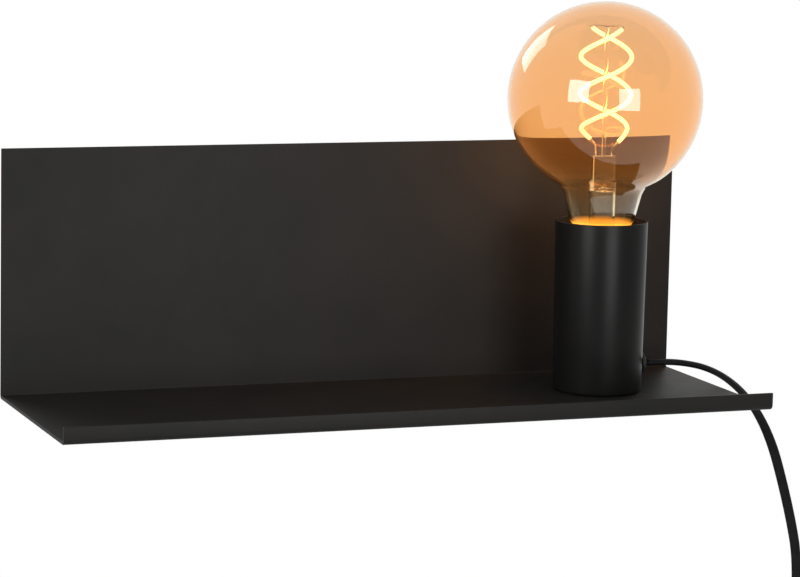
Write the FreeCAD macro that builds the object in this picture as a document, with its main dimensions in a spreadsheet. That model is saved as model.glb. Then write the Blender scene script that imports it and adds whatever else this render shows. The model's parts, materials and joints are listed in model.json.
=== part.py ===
import FreeCAD, Part
import math
import os
import Sketcher
from FreeCAD import Placement, Rotation, Vector

# Wall lamp with shelf. Millimetres. The wall is the plane Y = 0, the viewer stands at -Y, Z is up,
# and the origin is midway between the two wall screws, on the wall.

doc = FreeCAD.newDocument("wall_lamp_with_shelf")
sheet = doc.addObject("Spreadsheet::Sheet", "sizes")

DRIVING_SIZES = {
    # folded sheet: back plate, shelf and front lip
    "shelf_width": 350, "back_height": 120, "shelf_depth": 120, "sheet": 1.5,
    "lip_height": 8.3, "bend_inside": 1.2, "fold_inside": 0.6, "wall_gap": 5, "screws_below_top": 45,
    # wall rail and the hanger strip that drops behind it
    "screw_spacing": 120, "screw_hole": 4.5, "rail_length": 160, "rail_sheet": 1.5,
    "rail_below_screws": 12, "rail_step": 3.2, "rail_step_start": 4.6, "rail_top": 18,
    "hanger_length": 140, "hanger_tongue": 9.5, "hanger_weld": 14, "hang_play": 0.2,
    "bumper_width": 11, "bumper_inset": 22, "bumper_above_shelf": 14,
    # lamp holder cup standing on the shelf
    "holder_inset": 63.4, "holder_out": 54, "cup_height": 84, "cup_top": 45.2, "cup_foot": 43.4,
    "cup_wall": 1.2, "cup_foot_round": 1.8,
    # gland in the cup's wall: flange, nose and the ring nut inside
    "gland_height": 12.5, "gland_hole": 7, "gland_flange": 10.8, "gland_flange_high": 1.4,
    "gland_bevel": 0.5, "gland_nose": 7, "gland_nose_high": 2.6, "gland_inner": 3.4, "gland_nut": 10,
    "gland_nut_high": 2.4, "gland_seat": 0.5, "gland_nut_seat": 0.7, "slack": 0.05,
    # bridge inside the cup, its screws, and the threaded nipple on it
    "bridge_height": 20.3, "bridge_wide": 16, "bridge_gap": 18, "bridge_foot": 8, "bridge_sheet": 1.5,
    "foot_screw": 4, "foot_hole": 4.4, "screw_head": 7.6, "screw_head_high": 2.6, "screw_long": 10,
    "slot_wide": 0.9, "slot_deep": 1.1, "tap_play": 0.06, "cord_dip": 1.4, "core_rise": 2.5,
    "nipple": 10, "nipple_bore": 7.6, "nipple_long": 12.5, "nut_flats": 14, "nut_high": 3,
    "washer_high": 0.8, "washer_reach": 0.6, "nipple_below_nut": 0.4,
    # E27 lampholder
    "dome_neck": 16, "dome_neck_high": 7, "dome_rise": 7, "holder_wide": 37.6, "holder_wall": 1.8,
    "dome_high": 19, "skirt_mouth": 29.4, "skirt_lip": 1.4, "skirt_round": 1,
    "core_wide": 32.6, "core_high": 9, "core_rim_low": 3, "core_rim_high": 2, "core_web": 2.2,
    "thread_mean": 25.1, "thread_wave": 0.55, "thread_pitch": 3.62, "shell_sheet": 0.35, "thread_play": 0.2,
    "shell_high": 21, "terminal_out": 11.5, "terminal_screw": 3, "terminal_deep": 4.5,
    "terminal_head_high": 1.8, "tab_wide": 6, "tab_thick": 0.8, "tongue_long": 16, "tongue_wide": 5,
    "tongue_thick": 0.5, "tongue_tip": 4, "core_wire": 2.2, "core_apart": 2.4,
    # bulb
    "bulb_wide": 95, "bulb_centre": 143.3, "glass_wall": 0.9, "neck_wide": 32.4, "neck_at": 85,
    "neck_slope": 76, "shoulder_round": 9, "cap_tip": 50.8, "cap_high": 27, "cap_button": 9, "cap_cone": 21.4,
    "button_bevel": 1.2, "button_high": 2, "cone_start": 0.8, "cone_high": 4.6, "thread_start": 6.4,
    "cap_grip": 4, "glass_play": 0.15, "board_wide": 17, "board_high": 14, "board_thick": 1.2,
    "stem_wide": 13, "stem_top": 103, "press_wide": 12, "press_thick": 4.6, "press_high": 12.5,
    "rod_wide": 2, "rod_top": 178.4, "strand": 2, "coil_reach": 12.4, "strand_low": 123.4, "strand_high": 177.6,
    "strand_turns": 1.5, "strand_phase": -68, "fine_wire": 0.8, "strand_draw_in": 0.78, "wire_bite": 0.02,
    "wire_straight": 2.2, "wire_bar": 4, "lead_apart": 8.4,
    # cord, in-line switch, coil and plug
    "cord_wide": 5.2, "coil_step": 6.7, "coil_middle": 57, "tie_band": 7, "tie_sheet": 0.7,
    "tie_play": 0.4,
    "switch_long": 62, "switch_wide": 25, "switch_thick": 17, "switch_wall": 1.6, "switch_split": 9,
    "switch_round": 2.4, "boss_wide": 5, "case_screw": 2.2, "case_screw_long": 10, "case_head": 4.2,
    "case_head_high": 1.4, "rocker_long": 20, "rocker_wide": 11, "rocker_pin": 2, "rocker_play": 0.3,
    "rocker_sink": 2.5, "rocker_tilt": 7, "rocker_front": 3.7, "rocker_dish": 0.6, "rocker_end": 0.7,
    "rocker_keel": 1.7, "rocker_round": 0.6, "ear_reach": 3, "ear_thick": 4, "ear_high": 6,
    "switch_taper": 12, "entry_play": 0.4, "cord_shell": 0.8, "blade_long": 14.8, "blade_wide": 3.6,
    "blade_thick": 0.4, "boss_across": 8.2, "boss_up": 14, "case_play": 0.4, "head_play": 0.3,
    "terminal_thick": 4, "terminal_high": 9.4, "terminal_start": 5.6, "tongue_step": 3.9, "tongue_out": 3.6,
    "plug_long": 36, "plug_wide": 35.3, "plug_thick": 13.7, "plug_neck": 8.8, "plug_neck_long": 9,
    "plug_neck_grow": 1, "plug_shoulder": 17, "pin_gap": 19, "pin_wide": 4, "pin_long": 19,
    "pin_bevel": 0.8, "pin_core": 3, "sleeve_long": 10,
}

# The free cord's route, chosen by hand: X from the shelf's right end and the height above the shelf.
# The first two lie at the Y of the holder's axis, and the last at the Y where the coil ends.
DROP_ROUTE = [(-38.5, 12.5), (-26.4, 12.5), (-15.5, 11.3), (-3.8, 8.5), (7.6, 2.7), (18.0, -6.1),
              (27.2, -18.1), (34.6, -32.9), (40.4, -50.5), (46.4, -71.5), (51.0, -92.5), (51.0, -110.5)]
LINK_ROUTE = [(51.0, -172.5), (51.0, -182.5), (48.4, -192.2), (43.4, -200.8), (36.3, -207.9), (29.4, -211.9)]
TAIL_ROUTE = [(12.6, -225.5), (4.6, -232.9), (-0.9, -242.4), (-3.7, -253.0), (-3.7, -263.0)]

for row, (name, number) in enumerate(DRIVING_SIZES.items(), start=1):
    sheet.set(f"A{row}", name)
    sheet.set(f"B{row}", str(number))
    sheet.setAlias(f"B{row}", name)
doc.recompute()

SHELF_TOP = "sizes.screws_below_top - sizes.back_height + sizes.sheet"
HOLDER_Y = "-(sizes.wall_gap + sizes.sheet + sizes.holder_out)"
HOLDER_X = "(sizes.shelf_width / 2 - sizes.holder_inset)"
HOLDER_FOOT = (HOLDER_X, HOLDER_Y, SHELF_TOP)
CUP_FLOOR = "sizes.cup_wall"
BRIDGE_TOP = "sizes.bridge_height + sizes.bridge_sheet"
CORE_FLOOR = "sizes.cap_tip - sizes.core_high"
SHELL_FLOOR = "sizes.cap_tip + 1"
SKIRT_TOP = "sizes.cap_tip + sizes.shell_high + 3"
CORE_WELL = f"({CORE_FLOOR} + sizes.core_high - sizes.core_web)"
NECK_END = "(sizes.thread_mean / 2 - sizes.thread_wave - sizes.shell_sheet - sizes.glass_play)"
GLASS_FOOT = "(sizes.cap_tip + sizes.cap_high - sizes.cap_grip)"
PIN_OUT = "(-sizes.switch_thick / 2 + sizes.rocker_sink)"
BOTH_SIDES = (-1, 1)
NEAR = 0.01
QUARTERS = 4
parts = []


# ---------------------------------------------------------------- small tools

def size(text):
    """Works out an expression on the sheet's sizes."""
    return float(sheet.evalExpression(text))


def place(part, where, axis=Vector(0, 0, 1), angle=0):
    """Turns a part, then ties its place to the sheet."""
    part.Placement = Placement(Vector(*(size(text) for text in where)), Rotation(axis, angle))
    for letter, text in zip("xyz", where):
        part.setExpression(".Placement.Base." + letter, text)


def keep(part, label):
    """Names a sub-part and lists it for export."""
    part.Label = label
    parts.append(part)
    return part


def body(label, where=("0", "0", "0"), axis=Vector(0, 0, 1), angle=0):
    new = doc.addObject("PartDesign::Body", label + "_body")
    place(new, where, axis, angle)
    return keep(new, label)


def sketch(owner, plane="XZ_Plane", lift=None):
    """A sketch on one of the body's own origin planes, lifted along the plane's normal."""
    new = owner.newObject("Sketcher::SketchObject", "outline")
    new.AttachmentSupport = [(next(f for f in owner.Origin.OriginFeatures if f.Role == plane), "")]
    new.MapMode = "FlatFace"
    if lift:
        new.setExpression(".AttachmentOffset.Base.z", lift)
    return new


def hold(drawing, constraint, text):
    """Adds a dimension to a sketch and ties it to the sheet."""
    index = drawing.addConstraint(constraint)
    drawing.setExpression(f"Constraints[{index}]", text)


def fix_point(drawing, line, end, at):
    for kind, text in zip(("DistanceX", "DistanceY"), at):
        value = size(text)
        if text == "0":
            axis = -2 if kind == "DistanceX" else -1
            drawing.addConstraint(Sketcher.Constraint("PointOnObject", line, end, axis))
        else:
            hold(drawing, Sketcher.Constraint(kind, -1, 1, line, end, value), text)


def polygon(drawing, corners):
    """A closed outline of straight lines through corners given as pairs of expressions."""
    spots = [Vector(size(across), size(up), 0) for across, up in corners]
    first = drawing.GeometryCount
    count = len(spots)
    for n in range(count):
        drawing.addGeometry(Part.LineSegment(spots[n], spots[(n + 1) % count]), False)
    for n in range(count):
        drawing.addConstraint(Sketcher.Constraint("Coincident", first + n, 2, first + (n + 1) % count, 1))
    for n, corner in enumerate(corners):
        fix_point(drawing, first + n, 1, corner)
    return drawing


def circles(drawing, centres, width):
    for centre in centres:
        middle = Vector(size(centre[0]), size(centre[1]), 0)
        ring = drawing.addGeometry(Part.Circle(middle, Vector(0, 0, 1), size(width) / 2), False)
        hold(drawing, Sketcher.Constraint("Diameter", ring, size(width)), width)
        fix_point(drawing, ring, 3, centre)
    return drawing


def oblong(drawing, wide, high, centre=("0", "0")):
    left, right = f"({centre[0]}) - ({wide}) / 2", f"({centre[0]}) + ({wide}) / 2"
    low, top = f"({centre[1]}) - ({high}) / 2", f"({centre[1]}) + ({high}) / 2"
    return polygon(drawing, [(left, low), (right, low), (right, top), (left, top)])


def pad(owner, drawing, length, symmetric=False, reverse=False):
    new = owner.newObject("PartDesign::Pad", "pad")
    new.Profile = drawing
    new.setExpression("Length", length)
    new.Midplane = symmetric
    new.Reversed = reverse
    doc.recompute()
    return new


def pocket(owner, drawing, length, symmetric=False, reverse=False):
    """A pocket, which has to take material away."""
    before = owner.Shape.Volume
    new = owner.newObject("PartDesign::Pocket", "pocket")
    new.Profile = drawing
    new.setExpression("Length", length)
    new.Midplane = symmetric
    new.Reversed = reverse
    doc.recompute()
    if not new.Shape.Volume < before - NEAR:
        raise RuntimeError(f"{owner.Label}: a pocket cut nothing")
    return new


def revolve(owner, drawing, cut=False):
    new = owner.newObject("PartDesign::Groove" if cut else "PartDesign::Revolution", "turning")
    new.Profile = drawing
    new.ReferenceAxis = (drawing, ["V_Axis"])
    new.Angle = 360
    doc.recompute()
    return new


def turned(label, outline, where=HOLDER_FOOT, axis=Vector(0, 0, 1), angle=0):
    """A turned piece: an outline of radius and height, spun about its own Z axis."""
    new = body(label, where, axis, angle)
    revolve(new, polygon(sketch(new), outline))
    return new


def edges_where(shape, wanted):
    return [f"Edge{n}" for n, edge in enumerate(shape.Edges, start=1) if wanted(edge)]


def dress(owner, kind, width, wanted):
    """Rounds or bevels the edges that a test picks out."""
    tip = owner.Tip
    names = edges_where(tip.Shape, wanted)
    if not names:
        raise RuntimeError(f"{owner.Label}: no edge to dress")
    new = owner.newObject("PartDesign::" + kind, kind.lower())
    new.Base = (tip, names)
    new.setExpression("Radius" if kind == "Fillet" else "Size", width)
    doc.recompute()
    return new


def ring_at(height, width):
    """Picks the round edges at a height, of a diameter."""
    def wanted(edge):
        if not hasattr(edge.Curve, "Radius"):
            return False
        return abs(edge.BoundBox.ZMin - height) < NEAR and abs(edge.Curve.Radius * 2 - width) < NEAR
    return wanted


def along(direction):
    """Picks the straight edges that run along a direction."""
    def wanted(edge):
        if not isinstance(edge.Curve, Part.Line):
            return False
        return abs(abs(edge.tangentAt(edge.FirstParameter).dot(direction)) - 1) < 1e-6
    return wanted


def feature(label, shape, where=None):
    """A sub-part whose shape comes from Part's own functions."""
    new = doc.addObject("Part::Feature", label + "_shape")
    new.Shape = shape
    if where:
        place(new, where)
    return keep(new, label)


# ---------------------------------------------------------------- tubes along a path

def bend_arc(start, start_way, end, end_way):
    """The arc from start to end whose two tangents meet in one point."""
    chord = end - start
    corner = start + start_way * (chord.Length / 2 / start_way.dot(chord.normalize()))
    middle = (start + end) / 2
    half = (end - start).Length / 2
    slant = (corner - start).Length
    if slant - half < 1e-7:
        return Part.LineSegment(start, end).toShape()
    rise = half * math.tan(math.acos(min(1, half / slant)) / 2)
    return Part.Arc(start, middle + (corner - middle).normalize() * rise, end).toShape()


def biarc(start, start_way, end, end_way):
    """Two arcs that leave start and reach end along the given directions."""
    gap = end - start
    ways = start_way + end_way
    a = 2 * (1 - start_way.dot(end_way))
    b = 2 * gap.dot(ways)
    reach = gap.dot(gap) / b if a < 1e-9 else (-b + math.sqrt(b * b + 4 * a * gap.dot(gap))) / (2 * a)
    first_corner = start + start_way * reach
    last_corner = end - end_way * reach
    join = (first_corner + last_corner) / 2
    join_way = (last_corner - first_corner).normalize()
    return [bend_arc(start, start_way, join, join_way), bend_arc(join, join_way, end, end_way)]


def wound_edges(stations):
    """Biarcs through a list of points with their directions."""
    edges = []
    for (start, start_way), (end, end_way) in zip(stations, stations[1:]):
        edges += biarc(start, start_way, end, end_way)
    return edges


BEND_SHARE = 0.45


def route_edges(points, name):
    """Straight runs joined by tangent arcs, each as large as its two runs allow."""
    edges, radii, at = [], [], points[0]
    for before, corner, after in zip(points, points[1:], points[2:]):
        way_in = (corner - before).normalize()
        way_out = (after - corner).normalize()
        half_turn = way_in.getAngle(way_out) / 2
        reach = BEND_SHARE * min((corner - before).Length, (after - corner).Length)
        radius = reach / math.tan(half_turn)
        start, end = corner - way_in * reach, corner + way_out * reach
        inward = (way_out - way_in).normalize()
        middle = corner + inward * (radius / math.cos(half_turn) - radius)
        edges += [Part.LineSegment(at, start).toShape(), Part.Arc(start, middle, end).toShape()]
        radii.append(round(radius, 1))
        at = end
    edges.append(Part.LineSegment(at, points[-1]).toShape())
    print(f"{name}: length {sum(edge.Length for edge in edges):.1f}, bend radii {radii}")
    return edges


def tube(edges, width, name):
    """A round tube along joined edges, its volume compared with section times length."""
    path = Part.Wire(edges)
    start = edges[0].valueAt(edges[0].FirstParameter)
    way = edges[0].tangentAt(edges[0].FirstParameter)
    section = Part.Wire(Part.Circle(start, way, width / 2).toShape())
    sweep = Part.BRepOffsetAPI.MakePipeShell(path)
    sweep.add(section)
    sweep.build()
    sweep.makeSolid()
    solid = sweep.shape()
    expected = math.pi * width ** 2 / 4 * path.Length
    print(f"{name}: tube volume {solid.Volume:.0f}, section times length {expected:.0f}")
    return solid


def least_gap(edges, width, name, step=2.0, skip=14.0):
    """Measures on points how near a wound tube comes to itself."""
    spots, travelled = [], 0
    for edge in edges:
        count = max(2, int(edge.Length / step))
        for n in range(count):
            share = n / count
            at = edge.FirstParameter + share * (edge.LastParameter - edge.FirstParameter)
            spots.append((travelled + share * edge.Length, edge.valueAt(at)))
        travelled += edge.Length
    nearest = min((b - a).Length for i, (s, a) in enumerate(spots) for t, b in spots[i + 1:] if t - s > skip)
    print(f"{name}: least gap to itself {nearest - width:.2f}")


# ---------------------------------------------------------------- wall side

def make_wall_rail():
    """The strip that is screwed to the wall, stepped forward so that the hanger drops behind its top."""
    rail = body("wall_rail")
    step, skin, start = "sizes.rail_step", "sizes.rail_sheet", "sizes.rail_step_start"
    front = f"-({step} + {skin})"
    slack = "tan(22.5 deg) * sizes.rail_sheet"
    outline = [("0", "-sizes.rail_below_screws"), (f"-{skin}", "-sizes.rail_below_screws"), (f"-{skin}", start),
               (front, f"{start} + {step}"), (front, "sizes.rail_top"), (f"-{step}", "sizes.rail_top"),
               (f"-{step}", f"{start} + {step} + {slack}"), ("0", f"{start} + {slack}")]
    pad(rail, polygon(sketch(rail, "YZ_Plane"), outline), "sizes.rail_length", symmetric=True)
    holes = [("-sizes.screw_spacing / 2", "0"), ("sizes.screw_spacing / 2", "0")]
    pocket(rail, circles(sketch(rail), holes, "sizes.screw_hole"), "4 * sizes.rail_sheet", symmetric=True)


def make_hanger():
    """The Z strip welded to the plate's back; its web sits on the rail and its tongue hangs behind."""
    hanger = body("hanger_strip")
    skin, top, gap = "sizes.rail_sheet", "sizes.rail_top", "sizes.wall_gap"
    tongue = "-(sizes.rail_step - sizes.hang_play)"
    outline = [(f"{tongue} + {skin}", f"{top} - sizes.hanger_tongue"), (f"{tongue} + {skin}", f"{top} + {skin}"),
               (f"-{gap} + {skin}", f"{top} + {skin}"), (f"-{gap} + {skin}", f"{top} + sizes.hanger_weld"),
               (f"-{gap}", f"{top} + sizes.hanger_weld"), (f"-{gap}", top), (tongue, top),
               (tongue, f"{top} - sizes.hanger_tongue")]
    pad(hanger, polygon(sketch(hanger, "YZ_Plane"), outline), "sizes.hanger_length", symmetric=True)


def make_shelf_sheet():
    """One folded sheet: back plate, shelf and upturned front lip, with two screw holes under the cup."""
    shelf = body("shelf_sheet")
    skin, top = "sizes.sheet", "sizes.screws_below_top"
    under = "(sizes.screws_below_top - sizes.back_height)"
    back, front = "-sizes.wall_gap", "-(sizes.wall_gap + sizes.shelf_depth)"
    lip = f"{under} + sizes.lip_height"
    outline = [(back, under), (back, top), (f"{back} - {skin}", top), (f"{back} - {skin}", f"{under} + {skin}"),
               (f"{front} + {skin}", f"{under} + {skin}"), (f"{front} + {skin}", lip), (front, lip), (front, under)]
    pad(shelf, polygon(sketch(shelf, "YZ_Plane"), outline), "sizes.shelf_width", symmetric=True)
    low, high = size(under), size(under + " + " + skin)
    rear, nose = size(back), size(front)

    def bend(across, up):
        def wanted(edge):
            box = edge.BoundBox
            long_edge = box.XLength > size("sizes.shelf_width") - 1
            return long_edge and abs(box.YMin - across) < NEAR and abs(box.ZMin - up) < NEAR
        return wanted

    dress(shelf, "Fillet", "sizes.fold_inside + sizes.sheet", bend(rear, low))
    dress(shelf, "Fillet", "sizes.fold_inside", bend(rear - size(skin), high))
    dress(shelf, "Fillet", "sizes.bend_inside + sizes.sheet", bend(nose, low))
    dress(shelf, "Fillet", "sizes.bend_inside", bend(nose + size(skin), high))
    drill = sketch(shelf, "XY_Plane", SHELF_TOP)
    circles(drill, foot_screw_spots(HOLDER_X, HOLDER_Y), "sizes.foot_hole")
    pocket(shelf, drill, "2 * sizes.sheet")


def foot_screw_spots(across, out):
    """The two screws that pass shelf, cup and bridge feet, in front of and behind the holder's axis."""
    reach = "(sizes.bridge_gap / 2 + sizes.bridge_foot / 2)"
    return [(across, f"{out} + {reach}"), (across, f"{out} - {reach}")]


def make_bumpers():
    """Two rubber pads that keep the plate parallel to the wall."""
    height = "-sizes.back_height + sizes.screws_below_top + sizes.bumper_above_shelf"
    away = "(sizes.shelf_width / 2 - sizes.bumper_inset)"
    pads = []
    for side in BOTH_SIDES:
        puck = doc.addObject("Part::Cylinder", "bumper")
        puck.setExpression("Radius", "sizes.bumper_width / 2")
        puck.setExpression("Height", "sizes.wall_gap")
        place(puck, (f"{side} * {away}", "0", height), Vector(1, 0, 0), 90)
        pads.append(puck)
    group_of("wall_bumpers", pads)


def group_of(label, solids):
    """Identical or paired pieces that share one node as separate solids."""
    pair = doc.addObject("Part::Compound", label + "_group")
    pair.Links = solids
    return keep(pair, label)


# ---------------------------------------------------------------- cup, bridge and lampholder

def make_cup():
    """The deep-drawn cup: slightly tapered wall, closed foot with a rounded edge, two screw holes, a cord hole."""
    cup = body("holder_cup", HOLDER_FOOT)
    foot, top, skin = "sizes.cup_foot / 2", "sizes.cup_top / 2", "sizes.cup_wall"
    outline = [("0", "0"), (foot, "0"), (top, "sizes.cup_height"), (f"{top} - {skin}", "sizes.cup_height"),
               (f"{foot} - {skin}", skin), ("0", skin)]
    revolve(cup, polygon(sketch(cup), outline))
    dress(cup, "Fillet", "sizes.cup_foot_round", ring_at(0, size("sizes.cup_foot")))
    holes = circles(sketch(cup, "XY_Plane"), foot_screw_spots("0", "0"), "sizes.foot_hole")
    pocket(cup, holes, "4 * sizes.cup_wall", symmetric=True)
    side = sketch(cup, "YZ_Plane")
    circles(side, [("0", "sizes.gland_height")], "sizes.gland_hole")
    pocket(cup, side, "sizes.cup_foot", reverse=True)


def make_bridge():
    """The bent strip on the cup's floor that carries the lampholder on its nipple."""
    bridge = body("holder_bridge", HOLDER_FOOT)
    inner, skin = "sizes.bridge_gap / 2", "sizes.bridge_sheet"
    outer, foot = f"({inner} + {skin})", f"({inner} + sizes.bridge_foot)"
    top = f"({BRIDGE_TOP})"
    outline = [(f"-{foot}", CUP_FLOOR), (f"-{inner}", CUP_FLOOR), (f"-{inner}", "sizes.bridge_height"),
               (inner, "sizes.bridge_height"), (inner, CUP_FLOOR), (foot, CUP_FLOOR),
               (foot, f"{CUP_FLOOR} + {skin}"), (outer, f"{CUP_FLOOR} + {skin}"), (outer, top), (f"-{outer}", top),
               (f"-{outer}", f"{CUP_FLOOR} + {skin}"), (f"-{foot}", f"{CUP_FLOOR} + {skin}")]
    pad(bridge, polygon(sketch(bridge, "YZ_Plane"), outline), "sizes.bridge_wide", symmetric=True)
    centre_hole = circles(sketch(bridge, "XY_Plane", BRIDGE_TOP), [("0", "0")], "sizes.nipple + 4 * sizes.slack")
    pocket(bridge, centre_hole, "2 * sizes.bridge_sheet")
    taps = circles(sketch(bridge, "XY_Plane", f"{CUP_FLOOR} + {skin}"), foot_screw_spots("0", "0"),
                   "sizes.foot_screw + sizes.tap_play")
    pocket(bridge, taps, "2 * sizes.bridge_sheet")


def make_foot_screws():
    """Two pan-head screws from under the shelf into the bridge's feet."""
    screws = []
    for across, out in foot_screw_spots(HOLDER_X, HOLDER_Y):
        shank = cylinder("sizes.foot_screw", "sizes.screw_long", (across, out, f"{SHELF_TOP} - sizes.sheet"))
        under = f"{SHELF_TOP} - sizes.sheet - sizes.screw_head_high"
        head = cylinder("sizes.screw_head", "sizes.screw_head_high", (across, out, under))
        slot = doc.addObject("Part::Box", "slot")
        for edge, named in (("Length", "slot_wide"), ("Width", "screw_head"), ("Height", "slot_deep")):
            slot.setExpression(edge, "sizes." + named)
        place(slot, (f"{across} - sizes.slot_wide / 2", f"{out} - sizes.screw_head / 2", under))
        screws.append(cut(fused(head, shank), slot))
    group_of("foot_screws", screws)


def fused(base, tool):
    new = doc.addObject("Part::Fuse", "joined")
    new.Base, new.Tool = base, tool
    return new


def cut(base, tool):
    new = doc.addObject("Part::Cut", "cut")
    new.Base, new.Tool = base, tool
    return new


def cylinder(width, length, where, axis=Vector(0, 0, 1), angle=0):
    new = doc.addObject("Part::Cylinder", "cylinder")
    new.setExpression("Radius", f"({width}) / 2")
    new.setExpression("Height", length)
    place(new, where, axis, angle)
    return new


def make_nipple():
    """The hollow threaded tube that joins bridge and lampholder and lets the cord through."""
    low = "(sizes.bridge_height - sizes.washer_high - sizes.nut_high - sizes.nipple_below_nut)"
    bore, wide = "sizes.nipple_bore / 2", "sizes.nipple / 2"
    turned("threaded_nipple", [(bore, low), (wide, low), (wide, f"{low} + sizes.nipple_long"),
                               (bore, f"{low} + sizes.nipple_long")])


def make_nut_and_washer():
    """The toothed washer and the hexagon nut that clamp the nipple under the bridge."""
    under = "sizes.bridge_height"
    hole = "sizes.nipple / 2 + sizes.slack"
    rim = "sizes.nut_flats / 2 + sizes.washer_reach"
    turned("toothed_washer", [(hole, f"{under} - sizes.washer_high"), (rim, f"{under} - sizes.washer_high"),
                              (rim, under), (hole, under)])
    nut = body("nipple_nut", HOLDER_FOOT)
    plan = sketch(nut, "XY_Plane", f"{under} - sizes.washer_high")
    flats = "sizes.nut_flats / 2"
    corner = f"({flats} / cos(30 deg))"
    hexagon = [(corner, "0"), (f"{corner} / 2", flats), (f"-{corner} / 2", flats), (f"-{corner}", "0"),
               (f"-{corner} / 2", f"-{flats}"), (f"{corner} / 2", f"-{flats}")]
    pad(nut, polygon(plan, hexagon), "sizes.nut_high", reverse=True)
    bore = circles(sketch(nut, "XY_Plane", under), [("0", "0")], "sizes.nipple + 2 * sizes.slack")
    pocket(nut, bore, "2 * sizes.nut_high")


def make_lampholder():
    """Dome with threaded neck, skirt, insulating core: the three mouldings of an E27 lampholder."""
    wide, wall = "sizes.holder_wide / 2", "sizes.holder_wall"
    neck, hole = "sizes.dome_neck / 2", "sizes.nipple / 2 + sizes.slack"
    neck_top = f"{BRIDGE_TOP} + sizes.dome_neck_high"
    seam = f"({BRIDGE_TOP} + sizes.dome_high)"
    outline = [(hole, BRIDGE_TOP), (neck, BRIDGE_TOP), (neck, neck_top),
               (wide, f"{neck_top} + sizes.dome_rise"), (wide, seam), (f"{wide} - {wall}", seam),
               (f"{wide} - {wall}", f"{neck_top} + sizes.dome_rise + {wall} / 3"),
               (f"{neck} - {wall} / 2", f"{neck_top} + {wall}"), (hole, f"{neck_top} + {wall}")]
    turned("lampholder_dome", outline)
    mouth, lip = "sizes.skirt_mouth / 2", f"{SKIRT_TOP} - sizes.skirt_lip"
    outline = [(f"{wide} - {wall}", seam), (wide, seam), (wide, SKIRT_TOP), (mouth, SKIRT_TOP),
               (mouth, lip), (f"{wide} - {wall}", lip)]
    skirt = turned("lampholder_skirt", outline)
    dress(skirt, "Fillet", "sizes.skirt_round", ring_at(size(SKIRT_TOP), size("sizes.holder_wide")))
    core, well = "sizes.core_wide / 2", "sizes.cap_cone / 2 + sizes.skirt_round / 2"
    rim, step = f"{wide} - {wall} - sizes.slack", f"{CORE_FLOOR} + sizes.core_rim_low"
    outline = [("0", CORE_FLOOR), (core, CORE_FLOOR), (core, step), (rim, step),
               (rim, f"{step} + sizes.core_rim_high"), (core, f"{step} + sizes.core_rim_high"), (core, SHELL_FLOOR),
               (well, SHELL_FLOOR), (well, CORE_WELL), ("0", CORE_WELL)]
    holder_core = turned("lampholder_core", outline)
    taps = [("-sizes.terminal_out", "0"), ("sizes.terminal_out", "0")]
    drill = circles(sketch(holder_core, "XY_Plane", CORE_FLOOR), taps, "sizes.terminal_screw + 2 * sizes.slack")
    pocket(holder_core, drill, "sizes.terminal_deep", reverse=True)


def helix_column(width, low, high):
    """A round column whose centre winds about the axis: a rolled thread, with one smooth surface."""
    pitch, wave = size("sizes.thread_pitch"), size("sizes.thread_wave")
    path = Part.makeHelix(pitch, high - low, wave)
    path.rotate(Vector(0, 0, 0), Vector(0, 0, 1), 360 * low / pitch)
    path.translate(Vector(0, 0, low))
    start = path.Edges[0].valueAt(path.Edges[0].FirstParameter)
    sweep = Part.BRepOffsetAPI.MakePipeShell(Part.Wire(path.Edges))
    sweep.setTrihedronMode(start, Vector(0, 0, 1))
    sweep.add(Part.Wire(Part.Circle(start, Vector(0, 0, 1), width / 2).toShape()))
    sweep.build()
    sweep.makeSolid()
    return sweep.shape()


def make_screw_shell():
    """The lampholder's rolled screw shell, wound with the same wave as the bulb's cap."""
    low = size(SHELL_FLOOR)
    high = low + size("sizes.shell_high")
    bore = size("sizes.thread_mean + 2 * sizes.thread_play")
    wide = bore + 2 * size("sizes.shell_sheet")
    feature("screw_shell", helix_column(wide, low, high).cut(helix_column(bore, low, high)), HOLDER_FOOT)


def make_contacts():
    """The centre tongue under the bulb's button."""
    tongue = body("centre_contact", HOLDER_FOOT)
    end, tip, thick = "sizes.tongue_long / 2", "sizes.tongue_tip / 2", "sizes.tongue_thick"
    outline = [(f"-{end}", CORE_WELL), (end, CORE_WELL), (end, f"{CORE_WELL} + {thick}"),
               (f"{tip} + 2 * {thick}", f"{CORE_WELL} + {thick}"), (tip, "sizes.cap_tip"),
               (f"-{tip}", "sizes.cap_tip"),
               (f"-{tip}", f"sizes.cap_tip - {thick}"), (f"{tip} - {thick}", f"sizes.cap_tip - {thick}"),
               (f"{tip} + {thick} / 2", f"{CORE_WELL} + {thick}"), (f"-{end}", f"{CORE_WELL} + {thick}")]
    pad(tongue, polygon(sketch(tongue), outline), "sizes.tongue_wide", symmetric=True)


def make_terminals():
    """A brass tab and its clamping screw under the core, one for each pole."""
    under = f"({SHELF_TOP} + {CORE_FLOOR} - sizes.tab_thick)"
    half, head_high = "sizes.tab_wide / 2", "sizes.terminal_head_high"
    tabs, screws = [], []
    for side in BOTH_SIDES:
        across = f"{HOLDER_X} + {side} * sizes.terminal_out"
        tab = doc.addObject("Part::Box", "tab")
        for edge, named in (("Length", "tab_wide"), ("Width", "tab_wide"), ("Height", "tab_thick")):
            tab.setExpression(edge, "sizes." + named)
        place(tab, (f"{across} - {half}", f"{HOLDER_Y} - {half}", under))
        hole = cylinder("sizes.terminal_screw + 2 * sizes.slack", "3 * sizes.tab_thick",
                        (across, HOLDER_Y, f"{under} - sizes.tab_thick"))
        tabs.append(cut(tab, hole))
        shank = cylinder("sizes.terminal_screw", "sizes.terminal_deep", (across, HOLDER_Y, under))
        head = cylinder("2 * sizes.terminal_screw", head_high, (across, HOLDER_Y, f"{under} - {head_high}"))
        screws.append(fused(head, shank))
    group_of("terminal_tabs", tabs)
    group_of("terminal_screws", screws)


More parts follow.
